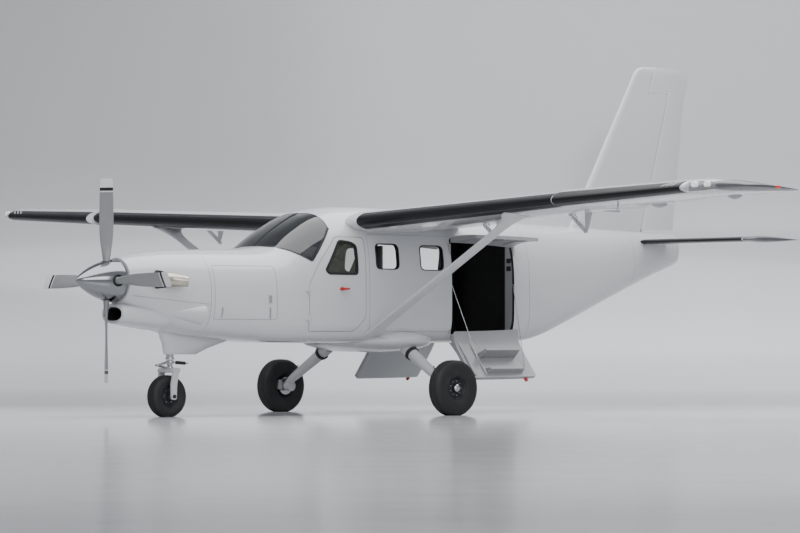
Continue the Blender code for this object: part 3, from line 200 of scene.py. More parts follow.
def make_materials(s):
    """Every finish on the airplane, by short name."""
    m = {}
    m["white"] = material(
        "airframe white", tuple(s.body_colour), 0.24, coat=0.55, vary=0.015, scale=1.3, bump=0.02,
        bump_scale=60,
    )
    m["grey_paint"] = material(
        "door inner grey", (0.42, 0.425, 0.435), 0.38, coat=0.2, vary=0.05, scale=4, bump=0.05,
    )
    m["blade"] = material(
        "blade grey", tuple(s.blade_colour), 0.38, coat=0.15, vary=0.04, scale=7, bump=0.04,
    )
    m["blade_black"] = material("blade band black", (0.012, 0.012, 0.013), 0.4, vary=0.2)
    m["blade_white"] = material("blade tip white", (0.78, 0.78, 0.77), 0.35, coat=0.2, vary=0.03)
    m["spinner"] = material(
        "polished spinner", tuple(s.spinner_colour), 0.15, metal=1.0, vary=0.05, scale=3.0,
        rough_vary=0.05,
    )
    m["boot"] = material(
        "de-icing boot rubber", tuple(s.boot_colour), 0.34, vary=0.10, scale=1.5, rough_vary=0.03,
    )
    m["boot"].node_tree.nodes["Principled BSDF"].inputs["Specular IOR Level"].default_value = 0.22
    # Bluish-grey painted highlight along the curve of the de-icing boots.
    m["boot_line"] = material("boot seam grey", (0.30, 0.32, 0.36), 0.4, vary=0.08)
    m["rubber"] = material("seal rubber", (0.014, 0.014, 0.015), 0.55, vary=0.3, bump=0.08)
    m["seam"] = material("panel seam", (0.30, 0.305, 0.31), 0.7, vary=0.10)
    # Near-black painted shade for the cabin's inner faces, floors and rear bulkhead.
    m["cabin_painted_shade"] = material("cabin painted shade", (0.022, 0.022, 0.021), 0.85, vary=0.15, bump=0.15)
    m["tyre"] = material(
        "tyre rubber", tuple(s.tyre_colour), 0.62, vary=0.18, scale=9, bump=0.22, bump_scale=130,
        wear=(0.035, 0.034, 0.033),
    )
    m["hub"] = material("wheel dark grey", (0.035, 0.037, 0.042), 0.42, metal=0.4, vary=0.15, scale=14)
    m["steel"] = material(
        "machined steel", (0.55, 0.56, 0.57), 0.26, metal=1.0, vary=0.08, scale=18, bump=0.03,
    )
    m["gear_grey"] = material(
        "gear paint", (0.62, 0.63, 0.64), 0.30, coat=0.3, vary=0.03, scale=6, bump=0.03,
    )
    m["exhaust"] = material(
        "heat-tinted steel", (0.50, 0.46, 0.39), 0.30, metal=1.0, vary=0.20, scale=10, bump=0.05,
        wear=(0.30, 0.24, 0.17),
    )
    # Near-black: soot in the exhaust bores, and painted shade inside the chin intake and in the gap round each
    # exhaust pipe.
    m["soot"] = material("soot inside pipes", (0.012, 0.010, 0.009), 0.8, vary=0.3)
    m["dark"] = material("dark plastic", (0.020, 0.020, 0.022), 0.5, vary=0.2, bump=0.08)
    m["red"] = material("red handle", tuple(s.handle_colour), 0.35, coat=0.4, vary=0.10, scale=20)
    m["alloy"] = material("bare alloy", (0.50, 0.51, 0.52), 0.34, metal=0.9, vary=0.08, scale=20)
    m["iron"] = material("engine iron", (0.10, 0.10, 0.10), 0.6, metal=0.5, vary=0.2, scale=12)
    m["tread_grip"] = material(
        "grip tape", (0.34, 0.345, 0.355), 0.8, vary=0.12, scale=40, bump=0.5, bump_scale=400,
    )
    m["seat"] = material(
        "seat cloth", (0.24, 0.225, 0.18), 0.9, vary=0.15, scale=30, bump=0.4, bump_scale=700,
    )
    m["windshield"] = glass_material("windshield tint", (0.012, 0.014, 0.018), 0.80)
    m["side_glass"] = glass_material("side window tint", (0.10, 0.108, 0.085), 0.30)
    m["clear"] = glass_material("lamp glass", (0.70, 0.72, 0.74), 0.22)
    # Dark grey painted shade and dark reflection for the outboard faces of the wing tips and the elevator horns.
    m["tip_grey"] = material("wing tip grey", (0.105, 0.110, 0.118), 0.32, coat=0.3, vary=0.04, scale=3)
    m["lamp_well"] = material("lamp well", (0.05, 0.052, 0.056), 0.35, metal=0.3, vary=0.10)
    m["lamp"] = lamp_material("lamp reflector", (0.95, 0.95, 0.92), 0.6)
    m["nav_red"] = lamp_material("red position lamp", (0.75, 0.02, 0.02), 0.3)
    m["nav_green"] = lamp_material("green position lamp", (0.02, 0.45, 0.12), 0.3)
    return m


M = {}


# Mesh tools.


def place(point):
    return Vector((point[0] - MID_X, point[1], point[2]))


def mesh_of(name, bm):
    bmesh.ops.recalc_face_normals(bm, faces=bm.faces)
    mesh = bpy.data.meshes.new(name)
    bm.to_mesh(mesh)
    bm.free()
    return mesh


def loft(name, rings, caps=True, closed=True):
    bm = bmesh.new()
    rows = [[bm.verts.new(place(p)) for p in ring] for ring in rings]
    count = len(rows[0])
    last = count if closed else count - 1
    for one, two in zip(rows, rows[1:]):
        for i in range(last):
            j = (i + 1) % count
            bm.faces.new((one[i], one[j], two[j], two[i]))
    if caps:
        bm.faces.new(rows[0])
        bm.faces.new(rows[-1])
    return mesh_of(name, bm)


def prism(name, outline, low, high, axis="y"):
    turn = {
        "x": lambda a, b, c: (c, a, b), "y": lambda a, b, c: (a, c, b), "z": lambda a, b, c: (a, b, c),
    }[axis]
    return loft(name, [[turn(a, b, c) for a, b in outline] for c in (low, high)])


def box(name, low, high):
    outline = [(low[0], low[1]), (high[0], low[1]), (high[0], high[1]), (low[0], high[1])]
    return prism(name, outline, low[2], high[2], "z")


def aim(start, end):
    z = (Vector(end) - Vector(start)).normalized()
    up = Vector((0, 0, 1)) if abs(z.z) < 0.99 else Vector((1, 0, 0))
    x = up.cross(z).normalized()
    y = z.cross(x)
    return Matrix.Translation(Vector(start)) @ Matrix((x, y, z)).transposed().to_4x4()


def circle(sides):
    """Cosine and sine at equal steps round a circle."""
    turns = [2 * math.pi * i / sides for i in range(sides)]
    return [(math.cos(t), math.sin(t)) for t in turns]


def rod(name, start, end, r1, r2=None, sides=32):
    length = (Vector(end) - Vector(start)).length
    turn = aim(start, end)
    rings = []
    for r, a in ((r1, 0.0), (r2 or r1, length)):
        rings.append([turn @ Vector((c * r, v * r, a)) for c, v in circle(sides)])
    return loft(name, rings)


def turned(name, profile, centre, axis, steps=72):
    """A closed profile of (radius, along) turned about an axis through centre."""
    turn = aim(centre, Vector(centre) + Vector(axis))
    rings = []
    for k in range(steps):
        t = 2 * math.pi * k / steps
        rings.append([turn @ Vector((math.cos(t) * r, math.sin(t) * r, a)) for r, a in profile])
    rings.append(rings[0])
    bm = bmesh.new()
    rows = [[bm.verts.new(place(p)) for p in ring] for ring in rings[:-1]]
    count = len(profile)
    for k in range(steps):
        one, two = rows[k], rows[(k + 1) % steps]
        for i in range(count):
            j = (i + 1) % count
            bm.faces.new((one[i], one[j], two[j], two[i]))
    bmesh.ops.remove_doubles(bm, verts=bm.verts, dist=1e-5)
    return mesh_of(name, bm)


def merged(name, meshes):
    """One mesh of several loose bodies, with each mesh's materials kept."""
    bm = bmesh.new()
    slots = []
    for mesh in meshes:
        start = len(bm.faces)
        bm.from_mesh(mesh)
        bm.faces.ensure_lookup_table()
        keys = [m for m in mesh.materials] or [None]
        for key in keys:
            if key not in slots:
                slots.append(key)
        for face in bm.faces[start:]:
            face.material_index = slots.index(keys[min(face.material_index, len(keys) - 1)])
    made = bpy.data.meshes.new(name)
    bm.to_mesh(made)
    bm.free()
    for key in slots:
        made.materials.append(key)
    return made


def dressed(mesh, mat):
    mesh.materials.clear()
    mesh.materials.append(mat)
    return mesh


def cut(mesh, cutters, operation="DIFFERENCE"):
    """The mesh after Boolean steps with each cutter mesh."""
    obj = bpy.data.objects.new("cut", mesh)
    bpy.context.scene.collection.objects.link(obj)
    others = []
    for cutter in cutters:
        other = bpy.data.objects.new("cutter", cutter)
        bpy.context.scene.collection.objects.link(other)
        others.append(other)
        modifier = obj.modifiers.new("cut", "BOOLEAN")
        modifier.operation = operation
        modifier.solver = "EXACT"
        modifier.object = other
    bpy.context.view_layer.update()
    graph = bpy.context.evaluated_depsgraph_get()
    made = bpy.data.meshes.new_from_object(obj.evaluated_get(graph))
    for item in [obj, *others]:
        bpy.data.objects.remove(item, do_unlink=True)
    return made


def show(name, mesh, mat, body="airframe", angle=32.0, bevel=0.0, replaces=()):
    """Adds a finished piece to the scene on its body."""
    if mat is not None:
        dressed(mesh, mat)
    obj = bpy.data.objects.new(name.replace(" ", "_"), mesh)
    bpy.context.scene.collection.objects.link(obj)
    mesh.shade_smooth()
    mesh.set_sharp_from_angle(angle=math.radians(angle))
    if bevel:
        modifier = obj.modifiers.new("edges", "BEVEL")
        modifier.width = bevel
        modifier.segments = 2
        modifier.limit_method = "ANGLE"
        modifier.angle_limit = math.radians(50)
    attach(obj, body)
    if replaces:
        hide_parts(*replaces)
    return obj


def rounded(outline, radius, steps=5):
    made = []
    count = len(outline)
    for i, corner in enumerate(outline):
        c = Vector(corner)
        a = Vector(outline[i - 1]) - c
        b = Vector(outline[(i + 1) % count]) - c
        r = min(radius, a.length * 0.45, b.length * 0.45)
        p, q = c + a.normalized() * r, c + b.normalized() * r
        for k in range(steps + 1):
            t = k / steps
            made.append(tuple((1 - t) ** 2 * p + 2 * t * (1 - t) * c + t * t * q))
    return made


def moved_in(outline, by):
    """A convex outline with every edge moved in."""
    centre = Vector((sum(p[0] for p in outline), sum(p[1] for p in outline))) / len(outline)
    lines = []
    for i, corner in enumerate(outline):
        a, b = Vector(corner), Vector(outline[(i + 1) % len(outline)])
        normal = Vector((-(b - a).y, (b - a).x)).normalized()
        if normal.dot(centre - a) < 0:
            normal = -normal
        lines.append((a + normal * by, b - a))
    made = []
    for i in range(len(outline)):
        p, d = lines[i - 1]
        q, e = lines[i]
        t = ((q - p).x * e.y - (q - p).y * e.x) / (d.x * e.y - d.y * e.x)
        made.append(tuple(p + d * t))
    return made


# The body's surface.


def columns_at(x):
    """Section columns at a station: smooth along the table, with a crease at its doubled row."""
    rows = SECTIONS
    for k in range(len(rows) - 1):
        if rows[k][0] < rows[k + 1][0] and x <= rows[k + 1][0]:
            break
    one, two = rows[k], rows[k + 1]
    span = two[0] - one[0]
    t = (x - one[0]) / span
    before = rows[k - 1] if k > 0 and rows[k - 1][0] < one[0] else None
    after = rows[k + 2] if k + 2 < len(rows) and rows[k + 2][0] > two[0] else None
    made = []
    for c in range(7):
        slope = (two[c] - one[c]) / span
        m0 = (two[c] - before[c]) / (two[0] - before[0]) if before else slope
        m1 = (after[c] - one[c]) / (after[0] - one[0]) if after else slope
        if x < one[0]:
            made.append(one[c] + slope * (x - one[0]))
            continue
        h = (2 * t**3 - 3 * t**2 + 1, t**3 - 2 * t**2 + t, -2 * t**3 + 3 * t**2, t**3 - t**2)
        made.append(h[0] * one[c] + h[1] * span * m0 + h[2] * two[c] + h[3] * span * m1)
    return made


def skin_ring(x, inset=0.0, count=96):
    _, half, low, high, middle, n_low, n_high = columns_at(x)
    ring = []
    for i in range(count):
        t = 2 * math.pi * (i + 0.5) / count
        c, s = math.cos(t), math.sin(t)
        n = n_high if s > 0 else n_low
        tall = (high - middle if s > 0 else middle - low) - inset
        ring.append(
            (
                x, math.copysign(abs(c) ** (2 / n), c) * (half - inset),
                middle + math.copysign(abs(s) ** (2 / n), s) * tall,
            )
        )
    return ring


def stations(start, end, step=0.12):
    marks = sorted({start, end, *[r[0] for r in SECTIONS if start < r[0] < end]})
    made = [marks[0]]
    for a, b in zip(marks, marks[1:]):
        n = max(1, round((b - a) / step))
        made += [a + (b - a) * k / n for k in range(1, n + 1)]
    return made


def skin_mesh(name, start, end, inset=0.0, count=96):
    return loft(name, [skin_ring(x, inset, count) for x in stations(start, end)])


def side_y(x, z, inset=0.0):
    _, half, low, high, middle, n_low, n_high = columns_at(x)
    n = n_high if z > middle else n_low
    tall = (high - middle if z > middle else middle - low) - inset
    u = min(abs(z - middle) / tall, 1.0)
    return (half - inset) * (1 - u**n) ** (1 / n)


def ribbon(name, path, width, lift=0.0007, sign=1, closed=False):
    """A thin strip laid on the body's side along a path of (x, z)."""
    dense = []
    loop = list(path) + ([path[0]] if closed else [])
    for a, b in zip(loop, loop[1:]):
        n = max(1, int((Vector(b) - Vector(a)).length / 0.03))
        dense += [(a[0] + (b[0] - a[0]) * k / n, a[1] + (b[1] - a[1]) * k / n) for k in range(n)]
    if not closed:
        dense.append(loop[-1])
    count = len(dense)
    rings = []
    for i, (x, z) in enumerate(dense):
        p = dense[i - 1] if i or closed else dense[0]
        q = dense[(i + 1) % count] if i < count - 1 or closed else dense[-1]
        d = Vector((q[0] - p[0], q[1] - p[1])).normalized()
        n = Vector((-d.y, d.x)) * width / 2
        edge = []
        for k in (-1, 1):
            ex, ez = x + n.x * k, z + n.y * k
            edge.append((ex, sign * (side_y(ex, ez) + lift), ez))
        low = [(p3[0], p3[1] - sign * 0.004, p3[2]) for p3 in edge]
        rings.append([edge[0], edge[1], low[1], low[0]])
    if closed:
        rings.append(rings[0])
    return loft(name, rings, caps=not closed)


def both_sides(outline):
    return prism("opening", outline, -1.3, 1.3)


def is_inside(point, inset):
    """True where a point lies deeper than inset under the body's skin."""
    x = point.x + MID_X
    if not SECTIONS[0][0] <= x <= SECTIONS[-1][0]:
        return False
    _, half, low, high, middle, n_low, n_high = columns_at(x)
    n = n_high if point.z > middle else n_low
    tall = (high - middle if point.z > middle else middle - low) - inset
    return (abs(point.y) / (half - inset)) ** n + (abs(point.z - middle) / tall) ** n < 1.0


def line_inside(mesh, inner, depth=0.012):
    """Gives the faces that look into the body a second material."""
    mesh.materials.append(inner)
    for face in mesh.polygons:
        if is_inside(face.center, depth):
            face.material_index = 1


def build_fuselage(s):
    """The skin from cowl to tail cone, one surface with its openings, with painted shade on its inner faces."""
    skin = skin_mesh("skin", 0.145, 9.70)
    inner = skin_mesh("hollow", 0.10, 6.34, 0.040)
    cone = skin_mesh("cone_hollow", 6.30, 8.6, 0.022)
    cargo = rounded(
        [
            (CARGO_X[0], CARGO_Z[0]), (CARGO_X[1], CARGO_Z[0]), (CARGO_X[1], CARGO_Z[1]),
            (CARGO_X[0], CARGO_Z[1]),
        ],
        0.06,
    )
    cutters = [inner, cone, both_sides(WINDSHIELD), both_sides(rounded(CREW_DOOR, 0.05)), both_sides(cargo)]
    for x0, x1, z0, z1 in CABIN_WINDOWS:
        cutters.append(both_sides(rounded([(x0, z0), (x1, z0), (x1, z1), (x0, z1)], 0.075)))
    for _, sign in SIDES:
        cutters.append(rod("pipe_hole", (0.44, sign * 0.20, 1.665), (0.60, sign * 0.66, 1.665), 0.104))
    mesh = cut(skin, cutters)
    dressed(mesh, M["white"])
    # Faces looking into the body get the near-black painted shade.
    line_inside(mesh, M["cabin_painted_shade"])
    for face in mesh.polygons:
        if face.center.x + MID_X < 0.16:
            face.material_index = 0
    show(
        "fuselage skin", mesh, None, angle=28,
        replaces=("cabin_shell", "tail_cone", "cowl_upper", "cowl_lower"),
    )
    disc = turned(
        "nose bulkhead", [(0.13, 0.0), (0.242, 0.0), (0.242, 0.012), (0.13, 0.012)], (0.16, 0, 1.65),
        (1, 0, 0), 64,
    )
    show("cowl nose bulkhead", disc, M["white"])


def build_seams(s):
    """Panel seams and latches on the body's sides."""
    w = s.seam_width
    lines = []
    bolts = []
    for _, sign in SIDES:
        lines.append(ribbon("cowl split", [(0.20, 1.47), (0.80, 1.40), (1.14, 1.37)], w, sign=sign))
        lines.append(ribbon("cowl rear", [(1.14, 1.05), (1.14, 1.96)], w, sign=sign))
        hatch = rounded([(1.19, 1.19), (2.05, 1.19), (2.05, 1.84), (1.19, 1.84)], 0.03)
        lines.append(ribbon("hatch", hatch, w, sign=sign, closed=True))
        lines.append(ribbon("frame", [(3.52, 1.05), (3.52, 2.26)], w, sign=sign))
        lines.append(ribbon("sill", [(3.53, 1.05), (4.86, 1.05)], w * 0.8, sign=sign))
        lines.append(ribbon("eave", [(3.53, 2.255), (4.88, 2.255)], w * 0.8, sign=sign))
        lines.append(ribbon("cone joint", [(6.30, 1.02), (6.30, 2.40)], w * 0.8, sign=sign))
        lines.append(ribbon("tail joint", [(8.60, 1.70), (8.60, 2.33)], w * 0.8, sign=sign))
        for x in (1.29, 1.95):
            bolts.append(("latch", ribbon("latch", [(x, 1.205), (x, 1.335)], 0.022, 0.004, sign), "alloy"))
        bolts.append(
            ("grip", ribbon("grip", [(1.952, 1.385), (1.952, 1.490)], 0.060, 0.004, sign), "gear_grey")
        )
        # A grey patch of painted shade stands for the grip's hollow.
        bolts.append(
            (
                "grip hollow shade", ribbon("grip hollow shade", [(1.952, 1.392), (1.952, 1.483)], 0.044, 0.0055, sign),
                "seam",
            )
        )
        # A dark strip of painted shade stands for the slot's recess.
        bolts.append(("slot", ribbon("slot", [(4.33, 0.955), (4.42, 0.955)], 0.020, 0.003, sign), "dark"))
    show("body panel seams", merged("seams", [dressed(m, M["seam"]) for m in lines]), None)
    show("hatch latches", merged("latches", [dressed(m, M[key]) for _, m, key in bolts]), None)


def build_glass(s):
    """Windshield with its centre post and seals, and the rubber frames of the side windows."""
    glass = cut(skin_mesh("glass", 2.06, 3.20, 0.003), [skin_mesh("glass_in", 1.96, 3.40, 0.014)])
    inset = [(2.05, 2.209), (2.25, 2.102), (2.6215, 1.914), (2.981, 2.3285), (2.981, 2.95), (2.05, 2.95)]
    glass = cut(glass, [prism("outline", inset, -1.3, 1.3)], "INTERSECT")
    show("windshield", glass, M["windshield"], replaces=("windshield",))
    # Seal strips around the windshield and the narrow post on the centreline.
    seals = []
    for _, sign in SIDES:
        seals.append(ribbon("post", [(2.625, 1.915), (2.982, 2.329)], 0.024, 0.003, sign))
        path = [(2.25 + 0.37 * k / 14, 2.098 - 0.188 * k / 14) for k in range(15)]
        seals.append(ribbon("base", path, 0.020, 0.003, sign))
    show("windshield seals", merged("seals", [dressed(m, M["rubber"]) for m in seals]), None)
    post = []
    for k in range(13):
        x = 2.262 + (2.980 - 2.262) * k / 12
        top = columns_at(x)[3]
        post.append([(x, y, top + lift) for y, lift in CENTRE_POST])
    show("windshield centre post", loft("post", post), M["dark"])
    for side, sign in SIDES:
        for i, (x0, x1, z0, z1) in enumerate(CABIN_WINDOWS):
            outline = rounded(
                [
                    (x0 + 0.001, z0 + 0.001), (x1 - 0.001, z0 + 0.001), (x1 - 0.001, z1 - 0.001),
                    (x0 + 0.001, z1 - 0.001),
                ],
                0.075,
            )
            inner = rounded(
                [
                    (x0 + 0.012, z0 + 0.012), (x1 - 0.012, z0 + 0.012), (x1 - 0.012, z1 - 0.012),
                    (x0 + 0.012, z1 - 0.012),
                ],
                0.066,
            )
            ring = skin_patch(outline, sign, 0.006, -0.046, holes=[inner])
            show(f"window reveal {side} {i + 1}", ring, M["rubber"])


def skin_patch(outline, sign, out, into, holes=()):
    """A slab of the body's side inside an outline, from out above the skin to into under it."""
    x0 = min(p[0] for p in outline) - 0.1
    x1 = max(p[0] for p in outline) + 0.1
    body = skin_mesh("patch", x0, x1, -out)
    low, high = sorted((0.2 * sign, 1.3 * sign))
    body = cut(body, [skin_mesh("patch_in", x0 - 0.05, x1 + 0.05, -into)])
    body = cut(body, [prism("patch_outline", outline, low, high)], "INTERSECT")
    if holes:
        body = cut(body, [prism("patch_hole", hole, low, high) for hole in holes])
    return body


def build_crew_doors(s):
    """Crew doors with window, rubber frame, handle and hinges."""
    for side, sign in SIDES:
        body = f"crew_door_{side}_body"
        outline = rounded(moved_in(CREW_DOOR, CLEAR * 0.6), 0.045)
        window = rounded(CREW_WINDOW, 0.055)
        door = skin_patch(outline, sign, 0.0, -0.044, holes=[window])
        dressed(door, M["white"])
        # The door's inner faces get the near-black painted shade.
        line_inside(door, M["cabin_painted_shade"])
        show(f"crew door {side}", door, None, body, replaces=(f"crew_door_{side}",))
        inner = rounded(moved_in(CREW_WINDOW, 0.026), 0.042)
        show(
            f"crew window frame {side}", skin_patch(window, sign, 0.007, -0.030, holes=[inner]),
            M["rubber"], body,
        )
        show(
            f"crew window {side}",
            skin_patch(rounded(moved_in(CREW_WINDOW, 0.010), 0.05), sign, -0.010, -0.016),
            M["side_glass"], body,
        )
        x, z = 3.115, 1.572
        y = side_y(x, z)
        grip = [
            rod(
                "grip", (x - 0.075, sign * (y + 0.020), z), (x + 0.055, sign * (y + 0.024), z + 0.002),
                0.017, 0.011, 16,
            ),
            rod(
                "root", (x - 0.060, sign * (y - 0.004), z), (x - 0.060, sign * (y + 0.030), z), 0.024,
                0.020, 20,
            ),
        ]
        show(f"door handle {side}", merged("grip", [dressed(m, M["red"]) for m in grip]), None, body)
        for k, hz in enumerate((1.20, 1.55)):
            knuckle = rod(
                "knuckle", (2.535, sign * 0.770, hz - 0.044), (2.535, sign * 0.770, hz + 0.044), 0.0095,
                sides=16,
            )
            leaf = prism(
                "leaf",
                [
                    (2.49, sign * 0.742), (2.535, sign * 0.764), (2.58, sign * 0.742),
                    (2.58, sign * 0.755), (2.535, sign * 0.776), (2.49, sign * 0.755),
                ],
                hz - 0.012, hz + 0.012, "z",
            )
            show(
                f"door hinge {side} {k + 1}",
                merged("hinge", [dressed(knuckle, M["gear_grey"]), dressed(leaf, M["gear_grey"])]),
                None,
            )


def swing(mesh, y, z, angle, sign):
    pivot = Matrix.Translation(Vector((0, sign * y, z)))
    mesh.transform(pivot @ Matrix.Rotation(angle * sign, 4, "X") @ pivot.inverted())
    return mesh


def build_cargo_doors(s):
    """The two-piece cargo doors: upper panel, airstair with treads, stays, jambs and latches."""
    yu, zu = UPPER_DOOR_PIVOT
    yl, zl = STAIR_PIVOT
    x0, x1 = CARGO_X[0] + CLEAR, CARGO_X[1] - CLEAR
    for side, sign in SIDES:
        body = f"cargo_door_upper_{side}_body"
        zs = (CARGO_SPLIT + 0.006, CARGO_Z[1] - CLEAR)
        outline = rounded([(x0, zs[0]), (x1, zs[0]), (x1, zs[1]), (x0, zs[1])], 0.05)
        panel = skin_patch(outline, sign, 0.0, -0.044)
        dressed(panel, M["white"])
        line_inside(panel, M["grey_paint"], 0.006)
        swing(panel, yu, zu, UPPER_OPEN, sign)
        show(
            f"cargo door upper {side}", panel, None, body,
            replaces=(f"cargo_door_upper_{side}",),
        )
        ribs = [
            skin_patch(
                rounded([(a, 1.76), (a + 0.05, 1.76), (a + 0.05, 2.17), (a, 2.17)], 0.01), sign, -0.043,
                -0.058,
            )
            for a in (x0 + 0.16, x0 + 0.52, x0 + 0.88)
        ]
        rib = swing(merged("ribs", [dressed(m, M["grey_paint"]) for m in ribs]), yu, zu, UPPER_OPEN, sign)
        show(f"cargo door ribs {side}", rib, None, body)

        body = f"airstair_{side}_body"
        zs = (CARGO_Z[0] + CLEAR, CARGO_SPLIT - 0.006)
        outline = rounded([(x0, zs[0]), (x1, zs[0]), (x1, zs[1]), (x0, zs[1])], 0.03)
        panel = skin_patch(outline, sign, 0.0, -0.050)
        dressed(panel, M["white"])
        line_inside(panel, M["grey_paint"], 0.006)
        swing(panel, yl, zl, -STAIR_OPEN, sign)
        show(
            f"airstair {side}", panel, None, body, bevel=0.004,
            replaces=(f"airstair_{side}",),
        )
        inner = side_y(5.4, 1.35) - 0.050
        bits = []
        for z, deep in ((1.372, 0.165), (1.612, 0.085)):
            span = (x0 + 0.30, x1 - 0.22)
            lo, hi = sorted((sign * inner, sign * (inner - deep)))
            bits.append(
                dressed(box("tread", (span[0], lo, z - 0.011), (span[1], hi, z + 0.011)), M["grey_paint"])
            )
            grip_lo, grip_hi = sorted((sign * (inner - 0.012), sign * (inner - deep + 0.010)))
            bits.append(
                dressed(
                    box(
                        "grip", (span[0] + 0.02, grip_lo, z + 0.0112),
                        (span[1] - 0.02, grip_hi, z + 0.0140),
                    ),
                    M["tread_grip"],
                )
            )
            for x in (span[0] - 0.006, span[1] + 0.0):
                cheek = [
                    (sign * inner, z - 0.06), (sign * (inner - deep), z - 0.012),
                    (sign * (inner - deep), z + 0.012), (sign * inner, z + 0.03),
                ]
                bits.append(dressed(prism("cheek", cheek, x, x + 0.006, "x"), M["grey_paint"]))
        for x in (x0 + 0.05, x0 + 0.24, x1 - 0.14):
            lo, hi = sorted((sign * (inner + 0.004), sign * (inner - 0.014)))
            bits.append(dressed(box("stiffener", (x, lo, 1.05), (x + 0.035, hi, 1.66)), M["grey_paint"]))
        stair = swing(merged("stair bits", bits), yl, zl, -STAIR_OPEN, sign)
        show(f"airstair treads {side}", stair, None, body, bevel=0.0015)
        red = swing(
            merged(
                "stair handle",
                [
                    dressed(
                        rod(
                            "k", (x1 - 0.16, sign * (inner + 0.03), 1.700),
                            (x1 - 0.16, sign * (inner + 0.03), 1.735), 0.026, 0.020, 20,
                        ),
                        M["red"],
                    )
                ],
            ),
            yl, zl, -STAIR_OPEN, sign,
        )
        show(f"airstair handle {side}", red, None, body)

        stays = []
        for xa, xb in ((CARGO_X[0] + 0.012, x0 + 0.20), (CARGO_X[1] - 0.022, x1 - 0.12)):
            pivot = Matrix.Translation(Vector((0, sign * yl, zl)))
            back = Matrix.Translation(Vector((0, -sign * yl, -zl)))
            opened = pivot @ Matrix.Rotation(-STAIR_OPEN * sign, 4, "X") @ back
            foot = opened @ Vector((xb, sign * (inner - 0.02), 1.54))
            stays.append(
                dressed(rod("stay", (xa, sign * 0.735, 1.66), tuple(foot), 0.0045, sides=8), M["alloy"])
            )
        show(f"airstair stays {side}", merged("stays", stays), None, body)

        jamb = []
        for x, wide in ((CARGO_X[1] + 0.001, 0.03), (CARGO_X[0] - 0.031, 0.03)):
            lo, hi = sorted((sign * 0.56, sign * (side_y(x, 2.0) - 0.004)))
            jamb.append(dressed(box("jamb", (x, lo, 1.03), (x + wide, hi, 2.16)), M["grey_paint"]))
        for z in (1.86, 1.96):
            lo, hi = sorted((sign * 0.60, sign * 0.672))
            jamb.append(
                dressed(
                    box("latch", (CARGO_X[1] - 0.012, lo, z - 0.03), (CARGO_X[1] + 0.012, hi, z + 0.03)),
                    M["dark"],
                )
            )
        show(f"cargo jamb {side}", merged("jamb", jamb), None)


